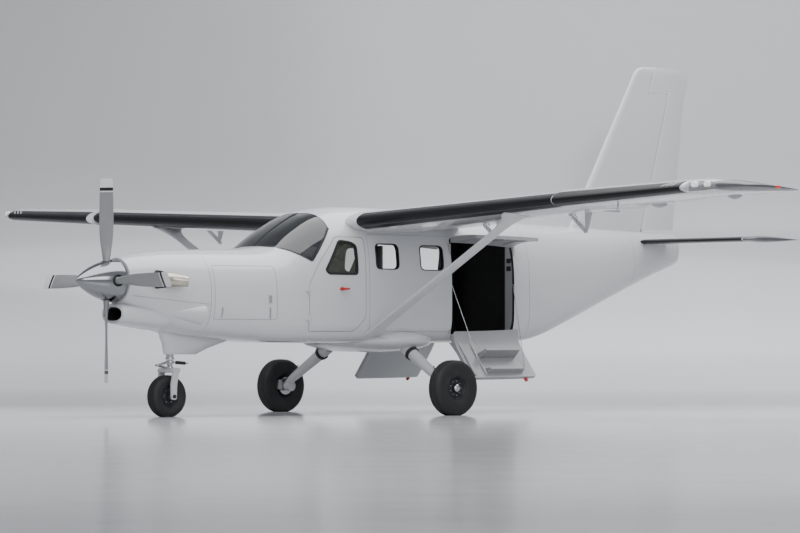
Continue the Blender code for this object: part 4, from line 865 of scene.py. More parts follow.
def build_cowl(s):
    """Chin intake, oil cooler exits and exhaust stubs."""
    outer, inner = [], []
    table = (
        (0.090, 0.196, 1.252, 0.098), (0.094, 0.208, 1.252, 0.110), (0.107, 0.218, 1.253, 0.119),
        (0.15, 0.226, 1.254, 0.125), (0.30, 0.262, 1.240, 0.135), (0.62, 0.330, 1.225, 0.165),
        (0.84, 0.36, 1.25, 0.16),
    )
    hollow = (
        (0.090, 0.186, 1.252, 0.088), (0.10, 0.178, 1.252, 0.080), (0.14, 0.178, 1.253, 0.078),
        (0.30, 0.178, 1.250, 0.076), (0.55, 0.12, 1.26, 0.06),
    )
    for rows, store in ((table, outer), (hollow, inner)):
        for x, half, z, tall in rows:
            ring = []
            for i in range(64):
                t = 2 * math.pi * (i + 0.5) / 64
                c, v = math.cos(t), math.sin(t)
                ring.append(
                    (
                        x, math.copysign(abs(c) ** 0.82, c) * half,
                        z + math.copysign(abs(v) ** 0.82, v) * tall,
                    )
                )
            store.append(ring)
    inner[0] = [(p[0] - 0.03, p[1], p[2]) for p in inner[0]]
    chin = cut(loft("chin", outer), [loft("chin hollow", inner)])
    dressed(chin, M["white"])
    chin.materials.append(M["soot"])
    # Faces inside the intake mouth get near-black painted shade.
    for face in chin.polygons:
        x, y, z = face.center.x + MID_X, face.center.y, face.center.z
        if x > 0.11 and (y / 0.19) ** 2 + ((z - 1.25) / 0.085) ** 2 < 1:
            face.material_index = 1
    show("chin intake", chin, None, angle=40)
    for side, sign in SIDES:
        rings = []
        for x, out, low, high in (
            (0.58, -0.012, 1.238, 1.262), (0.70, 0.010, 1.215, 1.288), (0.82, 0.036, 1.185, 1.312),
            (0.94, 0.064, 1.152, 1.335), (1.05, 0.086, 1.122, 1.356),
        ):
            ring = []
            for k in range(13):
                t = math.pi * k / 12
                z = (low + high) / 2 - math.cos(t) * (high - low) / 2
                skin = side_y(x, z)
                ring.append((x, sign * (skin - 0.015 + (out + 0.015) * math.sin(t) ** 0.7), z))
            rings.append(ring)
        scoop = loft("scoop", rings)
        throat = [
            [
                (p[0] + 0.02 * (i + 1) / 2, p[1] - sign * 0.007, p[2] * 0.88 + 1.240 * 0.12)
                for p in ring
            ] for i,
            ring in enumerate(rings[2:])
        ]
        scoop = cut(scoop, [loft("throat", throat)])
        dressed(scoop, M["white"])
        show(f"oil cooler exit {side}", scoop, None, angle=30)
        rings = []
        for x, y, mid, wide, tall, heading in (
            (0.475, 0.2303, 1.665, 0.085, 0.085, 90), (0.50, 0.40, 1.665, 0.085, 0.086, 80),
            (0.54, 0.47, 1.665, 0.085, 0.088, 64), (0.59, 0.535, 1.660, 0.080, 0.084, 50),
            (0.62, 0.562, 1.656, 0.076, 0.080, 43), (0.65, 0.585, 1.652, 0.072, 0.076, 36),
            (0.69, 0.612, 1.646, 0.067, 0.071, 30), (0.735, 0.635, 1.640, 0.062, 0.066, 24),
        ):
            a = math.radians(heading)
            ring = []
            for i in range(48):
                t = 2 * math.pi * i / 48
                across = math.cos(t) * wide
                ring.append(
                    (x - across * math.sin(a), sign * (y + across * math.cos(a)), mid + math.sin(t) * tall)
                )
            rings.append(ring)
        bore = []
        for ring in rings[2:]:
            c = sum((Vector(p) for p in ring), Vector()) / len(ring)
            points = [Vector(p) for p in ring]
            bore.append([tuple(p + (c - p).normalized() * 0.006 + Vector((0.002, 0, 0))) for p in points])
        bore.append([(p[0] + 0.05, p[1] + sign * 0.018, p[2]) for p in bore[-1]])
        pipe = cut(loft("pipe", rings), [dressed(loft("bore", bore), M["soot"])])
        dressed(pipe, M["exhaust"])
        # The pipe's inner faces get near-black soot and painted shade.
        pipe.materials.append(M["soot"])
        for face in pipe.polygons:
            if face.center.x + MID_X > 0.58 and face.normal.dot(
                Vector((0, 0, 1.665 - face.center.z)).normalized()
            ) > 0.35 and abs(face.center.z - 1.665) > 0.02:
                face.material_index = 1
        show(f"exhaust stub {side}", pipe, None, replaces=(f"exhaust_{side}",))
        # A near-black ring of painted shade fills the gap round the pipe where it leaves the cowl.
        collar = rod("collar", (0.455, sign * 0.395, 1.665), (0.475, sign * 0.435, 1.665), 0.112, 0.106, 48)
        show(f"exhaust shroud {side}", collar, M["soot"])


# Blade sections: radius, chord, thickness, twist in degrees.
BLADE_ROWS = [
    (0.10, 0.086, 0.086, 44.0), (0.24, 0.088, 0.080, 44.0), (0.29, 0.098, 0.068, 43.5),
    (0.34, 0.114, 0.054, 42.0), (0.40, 0.134, 0.042, 40.0), (0.46, 0.152, 0.035, 38.0),
    (0.56, 0.172, 0.029, 35.0), (0.66, 0.182, 0.025, 32.0), (0.80, 0.187, 0.021, 29.0),
    (0.92, 0.187, 0.018, 26.0), (1.02, 0.185, 0.016, 24.5), (1.06, 0.184, 0.015, 24.0),
    (1.075, 0.184, 0.0148, 23.8), (1.115, 0.182, 0.014, 23.2), (1.125, 0.1815, 0.0138, 23.1),
    (1.19, 0.178, 0.012, 22.0), (1.212, 0.170, 0.010, 22.0), (1.22, 0.150, 0.007, 22.0),
]


def build_propeller(s):
    """Four twisted blades with painted tips, the hub, and the polished spinner."""
    hub = Vector((0, 0, PROP_Z))
    blades = []
    holes = []
    for k in range(4):
        turn = Matrix.Translation(place(hub)) @ Matrix.Rotation(
            math.radians(90 * k), 4, "X",
        ) @ Matrix.Translation(-place(hub))
        rings = []
        for r, chord, thick, angle in BLADE_ROWS:
            a = math.radians(angle)
            ring = []
            flat = thick < 0.06
            for i in range(40):
                t = 2 * math.pi * i / 40
                u = math.cos(t) * chord * 0.5
                v = math.sin(t) * thick * 0.5 * (1.0 + (0.35 * math.cos(t) if flat else 0.0))
                ring.append(
                    (-u * math.sin(a) + v * math.cos(a), u * math.cos(a) + v * math.sin(a), PROP_Z + r)
                )
            rings.append(ring)
        blade = loft("blade", rings)
        dressed(blade, M["blade"])
        for key in ("blade_white", "blade_black"):
            blade.materials.append(M[key])
        for face in blade.polygons:
            r = face.center.z - PROP_Z
            face.material_index = 2 if 1.075 < r < 1.115 else (1 if r > 1.06 else 0)
        blade.transform(turn)
        blades.append(blade)
        hole = rod("hole", (0, 0, PROP_Z + 0.08), (0, 0, PROP_Z + 0.42), 0.072, 0.072, 36)
        hole.transform(turn)
        holes.append(hole)
    shaft = turned(
        "shaft",
        [
            (0.001, -0.22), (0.10, -0.22), (0.115, -0.10), (0.1190, 0.110), (0.06, 0.112),
            (0.06, 0.379), (0.001, 0.379),
        ],
        hub, (1, 0, 0), 48,
    )
    blades.append(dressed(shaft, M["dark"]))
    show(
        "propeller", merged("propeller", blades), None, "propeller_body",
        replaces=("propeller",),
    )
    spin = []
    for k in range(25):
        u = k / 24
        a = 0.581 * u
        r = 0.255 * (1 - (1 - u) ** 1.75) ** 0.86
        spin.append((max(r, 0.0008), a))
    inner = [(max(r - 0.008, 0.0006), a + 0.010) for r, a in spin[:-2]] + [(0.243, 0.572)]
    profile = [*spin, (0.121, 0.581), (0.121, 0.572), *reversed(inner)]
    cone = turned("spinner", profile, (-0.466, 0, PROP_Z), (1, 0, 0), 96)
    cone = cut(cone, holes)
    show(
        "spinner", cone, M["spinner"], "propeller_body", angle=40,
        replaces=("spinner",),
    )
    cuffs = []
    for k in range(4):
        turn = Matrix.Translation(place(hub)) @ Matrix.Rotation(
            math.radians(90 * k), 4, "X",
        ) @ Matrix.Translation(-place(hub))
        cuff = turned(
            "cuff", [(0.044, 0.10), (0.070, 0.10), (0.070, 0.222), (0.064, 0.232), (0.045, 0.232)],
            (0, 0, PROP_Z), (0, 0, 1), 32,
        )
        cuff.transform(turn)
        cuffs.append(dressed(cuff, M["rubber"]))
    show("blade root cuffs", merged("cuffs", cuffs), None, "propeller_body")


# Wings and tail.

WING_INNER = [(0.58, 3.270, 1.880, 0.150, 0.0), (4.480, 3.180, 1.640, 0.140, 0.0)]
WING_OUTER = [(4.480, 3.060, 1.760, 0.132, 0.010), (6.420, 3.180, 1.520, 0.120, 0.010)]
WING_TIP = [
    (6.376, 3.177, 1.526, 0.1205, 0.010), (6.50, 3.200, 1.500, 0.117, 0.010),
    (6.640, 3.270, 1.430, 0.105, 0.008), (6.72, 3.350, 1.350, 0.092, 0.006),
    (6.780, 3.460, 1.240, 0.075, 0.004), (6.83, 3.600, 1.100, 0.052, 0.002),
    (6.860, 3.760, 0.930, 0.026, 0.0),
]
AILERON_HINGE = 0.76


def half_thick(thick, u):
    return 5 * thick * (0.2969 * math.sqrt(u) - 0.1260 * u - 0.3516 * u**2 + 0.2843 * u**3 - 0.1015 * u**4)


def camber(u, droop=0.0):
    return 0.022 * (1 - (2 * u - 0.8) ** 2 / 1.44) - droop * max(0.0, 1 - u / 0.25) ** 2


def foil(thick, droop=0.0, start=0.0, end=1.0, count=26):
    spots = [start + (end - start) * 0.5 * (1 - math.cos(math.pi * k / (count - 1))) for k in range(count)]
    top = [(u, camber(u, droop) + max(half_thick(thick, u), 0.0012)) for u in reversed(spots)]
    low = [
        (u, camber(u, droop) - max(half_thick(thick, u), 0.0012))
        for u in (spots[1:] if start == 0.0 else spots)
    ]
    return top + low


def front_foil(thick, droop, hinge, gap):
    tall = half_thick(thick, hinge)
    radius = tall + gap
    lip = math.asin(tall / radius)
    ring = foil(thick, droop, 0.0, hinge - radius * math.cos(lip))
    cove = []
    for k in range(1, 12):
        t = math.pi + lip * (1 - 2 * k / 12)
        cove.append((hinge + radius * math.cos(t), camber(hinge) + radius * math.sin(t)))
    return ring + cove


def rear_foil(thick, hinge):
    radius = half_thick(thick, hinge)
    ring = foil(thick, 0.0, hinge, 1.0, 14)
    nose = []
    for k in range(1, 12):
        t = math.radians(90 + 15 * k)
        nose.append((hinge + radius * math.cos(t), camber(hinge) + radius * math.sin(t)))
    return ring[:14] + nose + ring[14:]


def wing_row(table, y):
    for one, two in zip(table, table[1:]):
        if y <= two[0]:
            break
    t = (y - one[0]) / (two[0] - one[0])
    return [a + t * (b - a) for a, b in zip(one, two)]


def wing_z(y):
    return 2.375 + 0.046 * (y - 0.58)


def on_wing(row, sign, u, v):
    y, lead, chord = row[0], row[1], row[2]
    return (lead + u * chord, sign * y, wing_z(y) + v * chord - (u - 0.25) * chord * 0.012)


def wing_point(table, y, u, below=0.0):
    row = wing_row(table, y)
    p = on_wing(row, 1, u, camber(u))
    return (p[0], p[1], p[2] - below)


def wing_ring(table, y, sign, points):
    row = wing_row(table, y)
    return [on_wing(row, sign, u, v) for u, v in points(row)]


def skin_strip(name, table, sign, ys, top_to, low_to, lift, count=26):
    """A sheet wrapped over the leading edge, from a chord fraction above to one below."""
    rings = []
    for y in ys:
        row = wing_row(table, y)
        chord = row[2]
        path = []
        steps = [
            top_to * (1 - k / count) ** 2
            for k in range(count)
        ] + [low_to * (k / count) ** 2 for k in range(count + 1)]
        for i, u in enumerate(steps):
            v = half_thick(row[3], u)
            path.append((u, camber(u, row[4]) + (v if i < count else -v)))
        outer, inner = [], []
        for i, (u, v) in enumerate(path):
            a = path[max(i - 1, 0)]
            b = path[min(i + 1, len(path) - 1)]
            d = Vector((b[0] - a[0], b[1] - a[1])).normalized()
            n = Vector((d.y, -d.x))
            fade = min(1.0, i / 3, (len(path) - 1 - i) / 3)
            outer.append(on_wing(row, sign, u + n.x * lift / chord * fade, v + n.y * lift / chord * fade))
            inner.append(on_wing(row, sign, u - n.x * 0.003 / chord, v - n.y * 0.003 / chord))
        rings.append(outer + list(reversed(inner)))
    return loft(name, rings)


def spread(a, b, n):
    return [a + (b - a) * k / n for k in range(n + 1)]


def truss(name, y, sign):
    """An open hinge truss under the wing, with lightening holes in its aft-leaning web."""
    x0, _, z0 = wing_point(WING_INNER, y, 0.60, 0.03)
    x1, _, z1 = wing_point(WING_INNER, y, 0.70, 0.02)
    x, _, z = wing_point(WING_INNER, 2.68, 0.775, 0.235)
    thick = 0.011
    outline = [
        (x0, z0), (x1, z1), (x1 + 0.004, z1 - 0.05), (x + 0.018, z + 0.012), (x + 0.016, z - 0.014),
        (x - 0.008, z - 0.020), (x - 0.026, z - 0.002),
    ]
    plate = prism(name, outline, sign * y - thick, sign * y + thick)
    holes = []
    a, b = Vector((x0 + 0.045, z0 - 0.035)), Vector((x - 0.016, z + 0.028))
    for k in range(5):
        c = a.lerp(b, k / 4)
        r = 0.017 - 0.002 * k
        holes.append(rod("hole", (c.x, sign * y - 0.05, c.y), (c.x, sign * y + 0.05, c.y), r, sides=20))
    gap = [
        (x0 + 0.085, z0 - 0.020), (x1 - 0.016, z1 - 0.022), (x1 - 0.006, z1 - 0.050),
        (x + 0.002, z + 0.050), (x - 0.004, z + 0.045),
    ]
    holes.append(prism("gap", gap, sign * y - 0.05, sign * y + 0.05))
    return cut(plate, holes)


def build_wings(s):
    """Wing skins with drooped outer edges, boots, lamps, trusses, flaps and ailerons."""
    lift = s.boot_lift
    for side, sign in SIDES:
        trusses = [dressed(truss("truss", y, sign), M["gear_grey"]) for y in (1.86, 3.50)]
        inner = loft(
            "inner",
            [
                wing_ring(WING_INNER, y, sign, lambda r: foil(r[3], r[4], 0.0, 0.72))
                for y in spread(0.58, 4.48, 12)
            ]
        )
        root = loft(
            "root",
            [
                wing_ring(WING_INNER, y, sign, lambda r: foil(r[3] + 0.003, 0, 0.66, 1.0, 10))
                for y in (0.57, 1.312)
            ]
        )
        outer = loft(
            "outer",
            [
                wing_ring(
                    WING_OUTER, y, sign, lambda r: front_foil(r[3], r[4], AILERON_HINGE, CLEAR / r[2]),
                )
                for y in spread(4.47, 6.384, 8)
            ]
        )
        tip = loft(
            "tip",
            [wing_ring(WING_TIP, row[0], sign, lambda r: foil(r[3] + 0.0005, r[4])) for row in WING_TIP]
        )
        body = skin_mesh("body", 2.7, 6.5, -0.002)
        inner = cut(inner, [body])
        tip = cut(
            tip,
            [
                prism(
                    "lamp_well",
                    [(3.0, sign * 6.49), (3.262, sign * 6.49), (3.455, sign * 6.752), (3.0, sign * 6.752)],
                    2.3, 3.0, "z",
                )
            ],
        )
        dressed(tip, M["white"])
        tip.materials.append(M["tip_grey"])
        tip.materials.append(M["lamp_well"])
        # Faces outboard of the lamp get the dark grey painted shade.
        for face in tip.polygons:
            x, y = face.center.x + MID_X, abs(face.center.y)
            if y > 6.742:
                face.material_index = 1
            elif 6.48 < y and x < 3.46 and face.normal.x < -0.8 and abs(face.normal.z) < 0.02:
                face.material_index = 2
        root = cut(root, [skin_mesh("body", 2.7, 6.5, -0.002)])
        wing = merged("wing", [*[dressed(m, M["white"]) for m in (inner, root, outer)], tip])
        show(f"wing {side}", wing, None, angle=40, replaces=(f"wing_{side}",))
        show(f"flap hinge trusses {side}", merged("trusses", trusses), None, bevel=0.0)

        boots = [
            skin_strip("boot in", WING_INNER, sign, spread(0.80, 4.478, 16), 0.075, 0.095, lift),
            skin_strip("boot out", WING_OUTER, sign, spread(4.482, 6.42, 10), 0.080, 0.085, lift),
        ]
        show(f"wing boots {side}", merged("boots", [dressed(m, M["boot"]) for m in boots]), None)
        # Thin bluish-grey strips near the front of each boot, a painted highlight along its curve.
        lines = []
        for table, ys in ((WING_INNER, spread(0.81, 4.46, 16)), (WING_OUTER, spread(4.50, 6.15, 10))):
            for u, up in ((0.030, True), (0.030, False)):
                rings = []
                for y in ys:
                    row = wing_row(table, y)
                    v = half_thick(row[3], u)
                    base = camber(u, row[4]) + (v if up else -v)
                    d = (0.0022 if up else -0.0022) / row[2]
                    w = 0.0028 / row[2]
                    rise = (lift / row[2]) * (1 if up else -1)
                    corners = ((-1, -1), (1, -1), (1, 0.35), (-1, 0.35))
                    rings.append([on_wing(row, sign, u + w * k, base + d * j + rise) for k, j in corners])
                lines.append(dressed(loft("line", rings), M["boot_line"]))
        show(f"boot seams {side}", merged("boot lines", lines), None)

        rear = [wing_ring(WING_INNER, y, sign, lambda r: foil(r[3], 0.0, 0.727, 1.0, 12)) for y in spread(1.32, 4.44, 8)]
        flap = [loft("flap", rear)]
        for y in (1.86, 3.50):
            x, _, z = wing_point(WING_INNER, 2.68, 0.775, 0.235)
            top = wing_point(WING_INNER, y, 0.80, 0.015)
            outline = [
                (x - 0.018, z + 0.006), (x - 0.010, z - 0.016), (x + 0.012, z - 0.016),
                (x + 0.020, z + 0.004), (top[0] + 0.12, top[2]), (top[0] - 0.01, top[2]),
            ]
            flap.append(prism("arm", outline, sign * (y + 0.0143), sign * (y + 0.026)))
        show(
            f"flap {side}", merged("flap", [dressed(m, M["white"]) for m in flap]), None,
            f"flap_{side}_body", replaces=(f"flap_{side}",)
        )
        aileron = loft(
            "aileron",
            [
                wing_ring(WING_OUTER, y, sign, lambda r: rear_foil(r[3], AILERON_HINGE))
                for y in spread(4.492, 6.36, 8)
            ]
        )
        show(
            f"aileron {side}", aileron, M["white"], f"aileron_{side}_body", angle=40,
            replaces=(f"aileron_{side}",),
        )
        bumps = []
        for y in (4.98, 6.22):
            row = wing_row(WING_OUTER, y)
            rings = []
            for k in range(9):
                u = 0.66 + 0.16 * k / 8
                grow = math.sin(math.pi * k / 8) ** 0.6
                c = on_wing(row, sign, u, camber(u) - half_thick(row[3], u))
                grow = max(grow, 0.05)
                rings.append([(c[0], c[1] + a * 0.018 * grow, c[2] + b * 0.045 * grow) for a, b in circle(16)])
            bumps.append(dressed(loft("bump", rings), M["white"]))
        show(f"aileron hinge fairings {side}", merged("bumps", bumps), None)
        build_wing_lamps(side, sign)


def build_wing_lamps(side, sign):
    """The landing lamps behind glass in the leading edge, the position lamp and the walkway marks."""
    pane = skin_strip("pane", WING_TIP, sign, spread(6.484, 6.758, 8), 0.052, 0.062, 0.001, 16)
    show(f"landing lamp glass {side}", pane, M["clear"])
    lamps = []
    for y in (6.56, 6.68):
        x, _, z = wing_point(WING_TIP, y, 0.030)
        lamps.append(
            dressed(
                turned(
                    "lamp",
                    [
                        (0.001, 0.012), (0.018, 0.008), (0.030, 0.0), (0.034, 0.0), (0.034, 0.05),
                        (0.001, 0.05),
                    ],
                    (x - 0.012, sign * y, z + 0.014), (1, 0, 0), 32,
                ),
                M["lamp"],
            )
        )
    show(f"landing lamps {side}", merged("lamps", lamps), None)
    nav = turned(
        "nav",
        [(0.001, -0.05), (0.014, -0.042), (0.020, -0.015), (0.020, 0.02), (0.010, 0.05), (0.001, 0.055)],
        (4.34, sign * 6.850, wing_z(6.85) + 0.016), (1, 0, 0), 24,
    )
    show(f"position lamp {side}", nav, M["nav_red"] if sign < 0 else M["nav_green"])
    marks = []
    for k in range(3):
        y = 6.12 + 0.075 * k
        rings = []
        for j in range(7):
            u = 0.012 + 0.050 * j / 6
            yy = y + 0.10 * j / 6
            row = wing_row(WING_OUTER, yy)
            v = camber(u, row[4]) + half_thick(row[3], u) + 0.0030 / row[2]
            row2 = wing_row(WING_OUTER, yy + 0.022)
            v2 = camber(u, row2[4]) + half_thick(row2[3], u) + 0.0030 / row2[2]
            rings.append(
                [
                    on_wing(row, sign, u, v), on_wing(row2, sign, u, v2),
                    on_wing(row2, sign, u, v2 - 0.002), on_wing(row, sign, u, v - 0.002),
                ]
            )
        marks.append(dressed(loft("mark", rings), M["blade_white"]))
    show(f"boot marks {side}", merged("marks", marks), None)


def build_struts(s):
    """One streamlined strut a side with flared ends."""
    low, high = Vector((3.60, 0.80, 1.06)), Vector((3.57, 3.35, 2.42))
    for side, sign in SIDES:
        rings = []
        for t, chord, thick in (
            (-0.05, 0.27, 0.15), (-0.01, 0.255, 0.135), (0.02, 0.225, 0.105), (0.06, 0.20, 0.085),
            (0.12, 0.192, 0.080), (0.50, 0.19, 0.080), (0.88, 0.19, 0.080), (0.925, 0.22, 0.085),
            (0.955, 0.28, 0.10), (0.98, 0.36, 0.13), (1.0, 0.46, 0.17), (1.05, 0.54, 0.21),
        ):
            p = low.lerp(high, t)
            ring = []
            for i in range(40):
                a = 2 * math.pi * i / 40
                ring.append(
                    (
                        p.x + math.cos(a) * chord / 2,
                        sign * p.y + math.sin(a) * thick / 2 * (1 - 0.25 * math.cos(a)), p.z,
                    )
                )
            rings.append(ring)
        strut = loft("strut", rings)
        under = [wing_ring(WING_INNER, y, sign, lambda r: foil(r[3], 0, 0.0, 0.72)) for y in (2.2, 4.2)]
        strut = cut(
            strut,
            [
                skin_mesh("body", 2.7, 5.2, -0.001),
                loft("under", [[(p[0], p[1], p[2] - 0.001) for p in ring] for ring in under])
            ]
        )
        show(f"wing strut {side}", strut, M["gear_grey"], replaces=(f"strut_{side}",))


def tail_rings(lead, trail, thick, kind, ys):
    rings = []
    chord = trail - lead
    hinge = (9.36 - lead) / chord
    points = {
        "front": lambda: front_foil(thick, 0.0, hinge, CLEAR / chord),
        "rear": lambda: rear_foil(thick, hinge), "whole": lambda: foil(thick),
    }[kind]()
    for y in ys:
        rings.append([(lead + u * chord, y, TAIL_Z + (v - camber(u)) * chord) for u, v in points])
    return rings


def fin_ring(z, lead, trail, half, nose, back, count=17):
    made = []
    for i in range(count):
        t = math.pi * (i / (count - 1) - 0.5)
        made.append((lead + half * nose * (1 - math.cos(t)), math.sin(t) * half, z))
    made += [(trail, back, z), (trail, -back, z)]
    return made


def build_tail(s):
    """Fin, rudder with horn, tailplanes with boots, and elevators with horns."""
    for side, sign in SIDES:
        plane = loft("plane", tail_rings(8.80, 9.755, 0.085, "front", [sign * y for y in (0.03, 2.13)]))
        plane = cut(plane, [skin_mesh("cone", 8.3, 9.7, -0.001)])
        show(
            f"tailplane {side}", plane, M["white"], angle=40,
            replaces=(f"tailplane_{side}",),
        )
        parts = [loft("main", tail_rings(8.80, 9.755, 0.085, "rear", [sign * y for y in (0.33, 2.19)]))]
        horn = []
        for y, lead, trail, thick in (
            (2.14, 8.80, 9.753, 0.0833), (2.22, 8.804, 9.753, 0.082), (2.26, 8.81, 9.753, 0.078),
            (2.285, 8.83, 9.745, 0.062), (2.30, 8.86, 9.735, 0.040),
        ):
            horn += tail_rings(lead, trail, thick, "whole", [sign * y])
        # The elevator horn gets the dark grey painted shade.
        parts.append(dressed(loft("horn", horn), M["tip_grey"]))
        parts.append(rod("tube", (9.36, sign * 0.36, TAIL_Z), (9.36, sign * 0.17, TAIL_Z), 0.018, sides=20))
        show(
            f"elevator {side}",
            merged("elevator", [m if m.materials else dressed(m, M["white"]) for m in parts]), None,
            f"elevator_{side}_body", angle=40, replaces=(f"elevator_{side}",)
        )
        rings = []
        for y in spread(0.26, 2.115, 6):
            outer, inner = [], []
            steps = [
                0.11 * (1 - k / 14) ** 2
                for k in range(14)
            ] + [0.11 * (k / 14) ** 2 for k in range(15)]
            for i, u in enumerate(steps):
                v = half_thick(0.085, u) * (1 if i < 14 else -1)
                fade = min(1.0, i / 2, (28 - i) / 2)
                grow = 1 + 0.05 * fade
                outer.append((8.80 + (u - 0.0020 * fade) * 0.955, sign * y, TAIL_Z + v * 0.955 * grow))
                inner.append((8.80 + (u + 0.004) * 0.955, sign * y, TAIL_Z + v * 0.955 * 0.93))
            rings.append(outer + list(reversed(inner)))
        show(f"tailplane boot {side}", loft("tail boot", rings), M["boot"])

    fin_rows = [
        (2.30, 7.645, 8.975, 0.058), (2.436, 7.71, 9.012, 0.057), (4.20, 8.735, 9.541, 0.040),
        (4.285, 8.785, 9.566, 0.038),
    ]
    fin = loft("fin", [fin_ring(z, a, b, h, 2.2, h * 0.9) for z, a, b, h in fin_rows])
    fin = cut(fin, [skin_mesh("cone", 7.2, 9.7, -0.001)])
    top_rows = [
        (4.270, 8.777, 9.180, 0.0382), (4.316, 8.803, 9.194, 0.037), (4.50, 8.908, 9.256, 0.035),
        (4.56, 8.945, 9.283, 0.034), (4.60, 8.98, 9.298, 0.031), (4.625, 9.02, 9.306, 0.027),
        (4.642, 9.08, 9.312, 0.019), (4.649, 9.16, 9.315, 0.011),
    ]
    cap = loft("fin cap", [fin_ring(z, a, b, h, 2.2, h * 0.9) for z, a, b, h in top_rows])
    show(
        "fin", merged("fin", [dressed(fin, M["white"]), dressed(cap, M["white"])]), None,
        replaces=("fin",),
    )
    low_rows = [(2.440, 9.034, 9.690, 0.055), (4.20, 9.562, 9.905, 0.036), (4.325, 9.600, 9.940, 0.034)]
    high_rows = [
        (4.300, 9.206, 9.932, 0.036), (4.316, 9.210, 9.936, 0.036), (4.50, 9.275, 9.992, 0.034),
        (4.55, 9.292, 10.010, 0.033), (4.585, 9.305, 10.016, 0.029), (4.610, 9.315, 10.012, 0.024),
        (4.635, 9.325, 9.84, 0.017), (4.652, 9.335, 9.62, 0.009),
    ]
    rudder = [
        loft("rudder", [fin_ring(z, a, b, h * 0.9, 1.0, 0.004) for z, a, b, h in rows])
        for rows in (low_rows, high_rows)
    ]
    pivot, axis = Vector((9.0835, 0.0, 2.44)), Vector((9.5944 - 9.0835, 0, 1.76)).normalized()
    rudder.append(rod("pin", tuple(pivot + axis * 0.03), tuple(pivot - axis * 0.030), 0.014, sides=20))
    show(
        "rudder", merged("rudder", [dressed(m, M["white"]) for m in rudder]), None, "rudder_body",
        replaces=("rudder",)
    )
    light = turned(
        "tail lamp", [(0.001, -0.04), (0.018, -0.03), (0.024, 0.0), (0.018, 0.02), (0.001, 0.022)],
        (9.705, 0, 2.30), (-1, 0, 0), 24,
    )
    show("tail lamp", light, M["clear"])


# Landing gear.


def tyre_mesh(centre, radius, width, rim, grooves):
    """A tyre with rounded shoulders and straight grooves round the tread."""
    w = width / 2
    half = [
        (rim, 0.60), (rim + 0.006, 0.72), (rim + 0.016, 0.80), (rim + 0.030, 0.885),
        ((rim + radius) / 2 - 0.02, 0.97), ((rim + radius) / 2 + 0.015, 1.0), (radius - 0.070, 0.985),
        (radius - 0.045, 0.94), (radius - 0.024, 0.84), (radius - 0.012, 0.72), (radius - 0.006, 0.60),
    ]
    tread = []
    for g in grooves:
        a = g + 0.035
        b = g - 0.035
        tread += [
            (radius - 0.0035 * abs(g), a), (radius - 0.009, a - 0.012), (radius - 0.009, b + 0.012),
            (radius - 0.0035 * abs(g), b),
        ]
    side = [(r, a * w) for r, a in half] + [(r, a * w) for r, a in tread]
    mirror = [(r, -a) for r, a in reversed(side)]
    return turned("tyre", [*side, *mirror], centre, (0, 1, 0), 96)


def wheel_mesh(centre, rim, width, bore, bolts):
    """A two-part wheel: dished web, tie bolts and bead flange."""
    w = width / 2
    profile = [
        (bore, -w * 0.66), (bore + 0.022, -w * 0.66), (bore + 0.030, -w * 0.40),
        (rim * 0.60, -w * 0.32), (rim * 0.80, -w * 0.40), (rim - 0.016, -w * 0.60),
        (rim - 0.004, -w * 0.70), (rim - 0.0005, -w * 0.68), (rim - 0.0005, w * 0.68),
        (rim - 0.004, w * 0.70), (rim - 0.016, w * 0.60), (rim * 0.80, w * 0.40),
        (rim * 0.60, w * 0.32), (bore + 0.030, w * 0.40), (bore + 0.022, w * 0.66), (bore, w * 0.66),
    ]
    parts = [dressed(turned("wheel", profile, centre, (0, 1, 0), 64), M["hub"])]
    for k in range(bolts):
        t = 2 * math.pi * k / bolts
        r = rim * 0.66
        x, z = centre[0] + math.cos(t) * r, centre[2] + math.sin(t) * r
        for d in (-1, 1):
            parts.append(
                dressed(
                    rod(
                        "bolt", (x, centre[1] + d * w * 0.30, z), (x, centre[1] + d * w * 0.47, z),
                        0.0065, sides=6,
                    ),
                    M["alloy"],
                )
            )
    return merged("wheel", parts)


def build_wheels(s):
    """Tyres and wheels, with caps on the main wheels."""
    show(
        "nose tyre", tyre_mesh(NOSE_WHEEL, 0.258, 0.19, 0.115, (0.45, 0.15)), M["tyre"], "nose_wheel",
        replaces=("nose_tyre",),
    )
    show(
        "nose wheel", wheel_mesh(NOSE_WHEEL, 0.115, 0.19, 0.0187, 6), None, "nose_wheel",
        replaces=("nose_hub",),
    )
    for side, sign in SIDES:
        c = (MAIN_WHEEL[0], sign * MAIN_WHEEL[1], MAIN_WHEEL[2])
        body = f"main_wheel_{side}"
        show(
            f"main tyre {side}", tyre_mesh(c, 0.347, 0.215, 0.135, (0.50, 0.20)), M["tyre"], body,
            replaces=(f"main_tyre_{side}",),
        )
        show(
            f"main wheel {side}", wheel_mesh(c, 0.135, 0.215, 0.0287, 9), None, body,
            replaces=(f"main_hub_{side}",),
        )
        cap = turned(
            "cap",
            [
                (0.001, 0.062), (0.032, 0.062), (0.044, 0.070), (0.046, 0.082), (0.030, 0.094),
                (0.001, 0.096),
            ],
            c, (0, sign, 0), 40,
        )
        show(f"main wheel cap {side}", cap, M["steel"], body)


